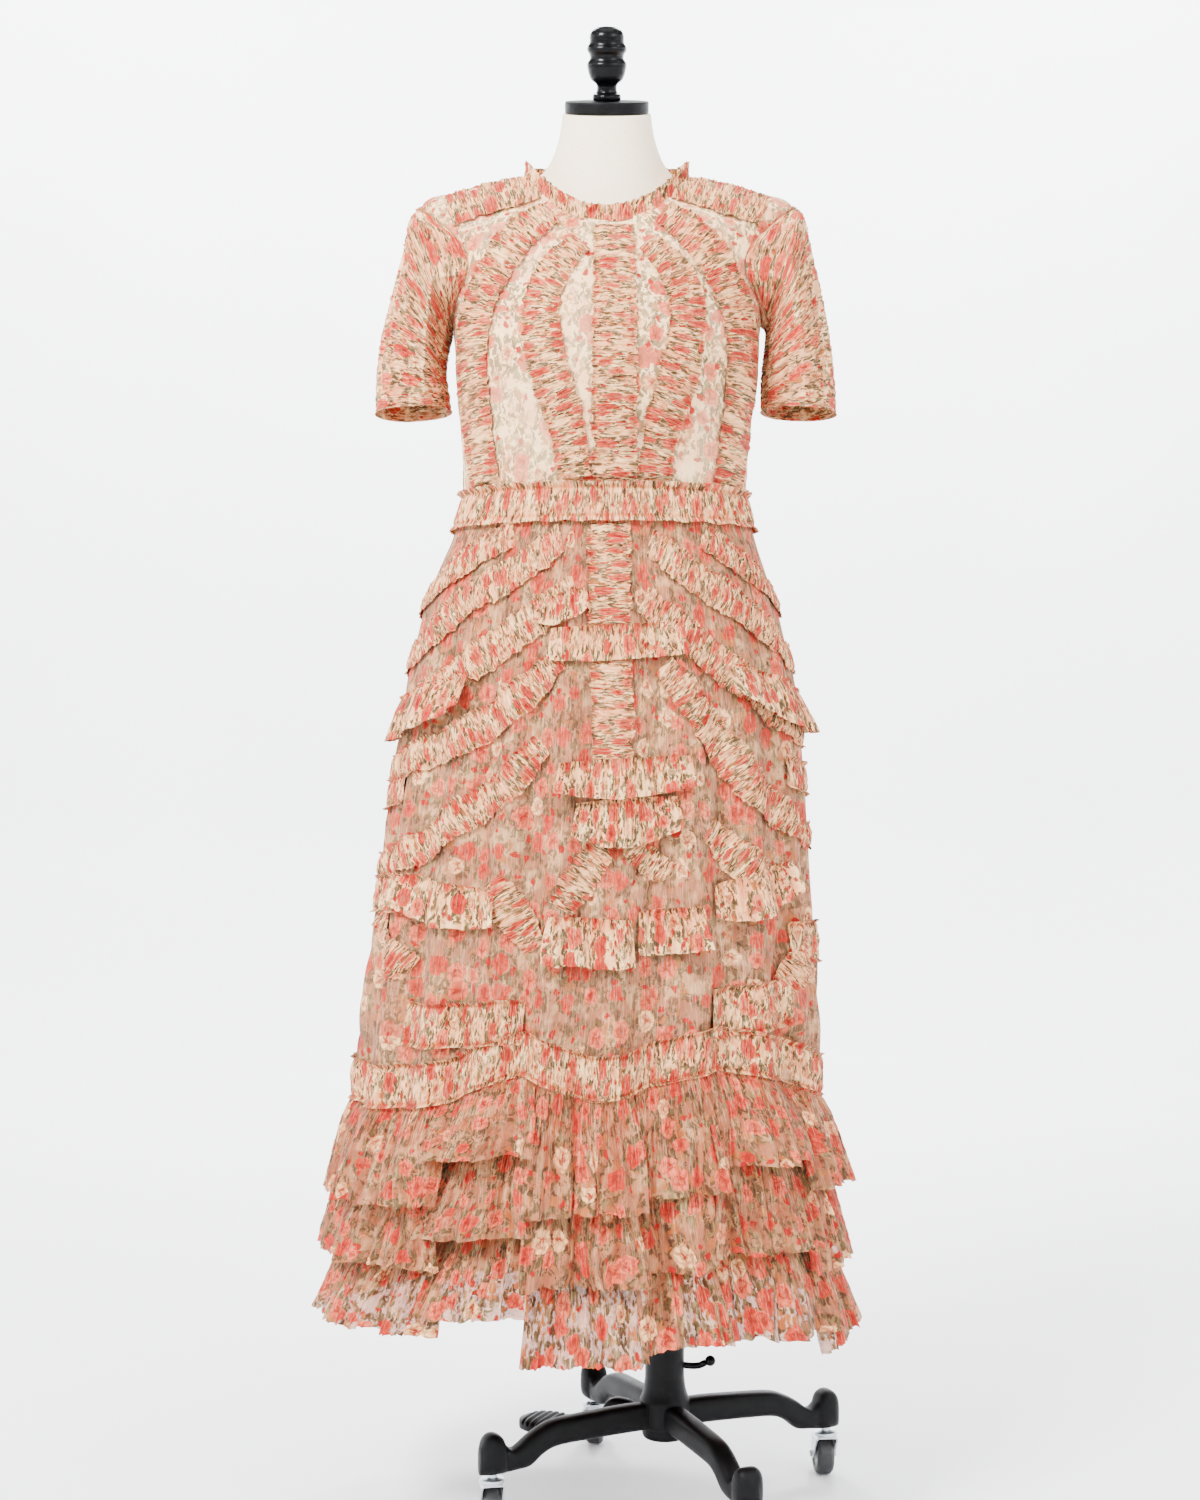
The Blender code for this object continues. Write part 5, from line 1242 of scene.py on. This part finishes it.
def addFork(k, kit=caster):
    # the yoke, the turned race and stem over it, and a six-sided nut on each cheek
    centre, axle, back, side = casterFrame(k)
    reach = kit["halfWidth"] + kit["gap"] + kit["cheek"] / 2
    top = kit["top"] - kit["plateDrop"] - kit["cheek"] / 2
    high, stem = kit["top"], kit["stem"]
    race = rounded([(0.0002, top), (0.0132, top), (0.0138, top + 0.002), (0.0138, high - 0.0006),
                    (0.0125, high), (0.0070, high + 0.0008), (stem, high + 0.0012), (stem, kit["stemTop"]),
                    (0.0002, kit["stemTop"])], 0.0006)
    parts = [addYoke(k, centre, back, side, top, reach), lathe(f"race{k}", race, centre, "zinc", 40)]
    for sign in (-1, 1):
        face = sign * (reach + kit["cheek"] / 2)
        nut = [(radius, face + sign * out) for radius, out in kit["nut"]]
        parts.append(gridObject(f"nut{k}{'ab'[sign > 0]}", onAxle(nut, axle, back, side, 6), "zinc",
                                centre=np.repeat(axle[None], 4, axis=0)))
        parts[-1].data.shade_flat()
    name = stand["names"][k]
    place(joinParts(f"casterFork{name.title()}", parts), f"caster_{name}", f"fork_{name}")


addBase()
addPole()
addPedal()
addLever()
for k in range(4):
    addWheel(k)
    addFork(k)
print("stand made")


# Camera, floor, backdrop and lights

studio = {
    "cameraAt": (0.016, -2.5, 0.885), "lens": 51.0, "sweepRings": 60, "sweepSides": 96,
    # half profile of the sweep: distance out and height
    "sweep": [(0.0, 0.0), (2.0, 0.0), (3.9, 0.0), (4.35, 0.10), (4.60, 0.42), (4.70, 0.9), (4.72, 2.4),
              (4.72, 4.2)],
    # place, aim, size and power
    "lamps": {"keyLeft": ((-1.4, -1.8, 2.9), (0, 0, 1.50), (0.8, 0.9), 255),
              "fillRight": ((2.0, -2.0, 2.6), (0, 0, 1.2), (1.2, 1.4), 62),
              "overhead": ((0.0, -0.5, 3.9), (0, 0, 0.8), (2.0, 2.0), 40)},
    # angle and power of the lamps that light the wall
    "wallLamps": ((68, 360), (112, 360), (190, 90), (230, 40), (310, 40), (350, 90)),
    "skyColour": (0.94, 0.96, 1.0, 1), "skyStrength": 0.38,
}


def addCamera(kit=studio):
    # a level camera in front of the figure, looking along +Y
    data = bpy.data.cameras.new("camera")
    data.lens, data.sensor_width = kit["lens"], 36.0
    camera = bpy.data.objects.new("camera", data)
    camera.location = kit["cameraAt"]
    camera.rotation_euler = (math.pi / 2, 0, 0)
    bpy.context.scene.collection.objects.link(camera)
    bpy.context.scene.camera = camera


def addSweep(kit=studio):
    # a pale floor that curves up all round into a wall: a smooth half profile carried round the middle
    rings, sides = kit["sweepRings"], kit["sweepSides"]
    profile = np.maximum(smoothRows(kit["sweep"], np.linspace(0, len(kit["sweep"]) - 1, rings)), 0)
    angle = circle(sides)
    points = np.stack([profile[:, :1] * np.cos(angle), profile[:, :1] * np.sin(angle),
                       np.repeat(profile[:, 1:], sides, axis=1)], -1)
    material, wire, shader = newMaterial("sweepPale")
    tone = wire.node("ShaderNodeTexCoord", out=3).noise(1.2, 4.0, space="3D")
    pale = tone.between(0.3, 0.75).mix(tint(236, 237, 239), tint(240, 241, 243))
    connect(wire.tree, shader, {"Base Color": pale, "Roughness": 0.8})
    meshObject("sweep", points, quads(rings, sides, True), material)


def addLight(name, at, aim, size, power):
    # an area lamp turned to its aim, hidden from the camera
    data = bpy.data.lights.new(name, "AREA")
    data.shape, data.size, data.size_y = "RECTANGLE", size[0], size[1]
    data.energy = power
    lamp = bpy.data.objects.new(name, data)
    lamp.visible_camera = False
    lamp.location = at
    back = np.array(at, float) - np.array(aim, float)
    lamp.rotation_euler = (0, math.atan2(math.hypot(back[0], back[1]), back[2]), math.atan2(back[1], back[0]))
    bpy.context.scene.collection.objects.link(lamp)


def addSky(kit=studio):
    # one even, slightly cool background light
    world = bpy.data.worlds.new("room")
    world.use_nodes = True
    background = world.node_tree.nodes["Background"]
    connect(world.node_tree, background, {"Color": kit["skyColour"], "Strength": kit["skyStrength"]})
    bpy.context.scene.world = world


addCamera()
addSweep()
for name, values in studio["lamps"].items():
    addLight(name, *values)
for number, (angle, power) in enumerate(studio["wallLamps"]):
    addLight(f"wall{number}", level(angle) * 2.6 + 4.1 * up, level(angle) * 4.7 + 1.2 * up, (1.6, 0.8), power)
addSky()
print("studio made")
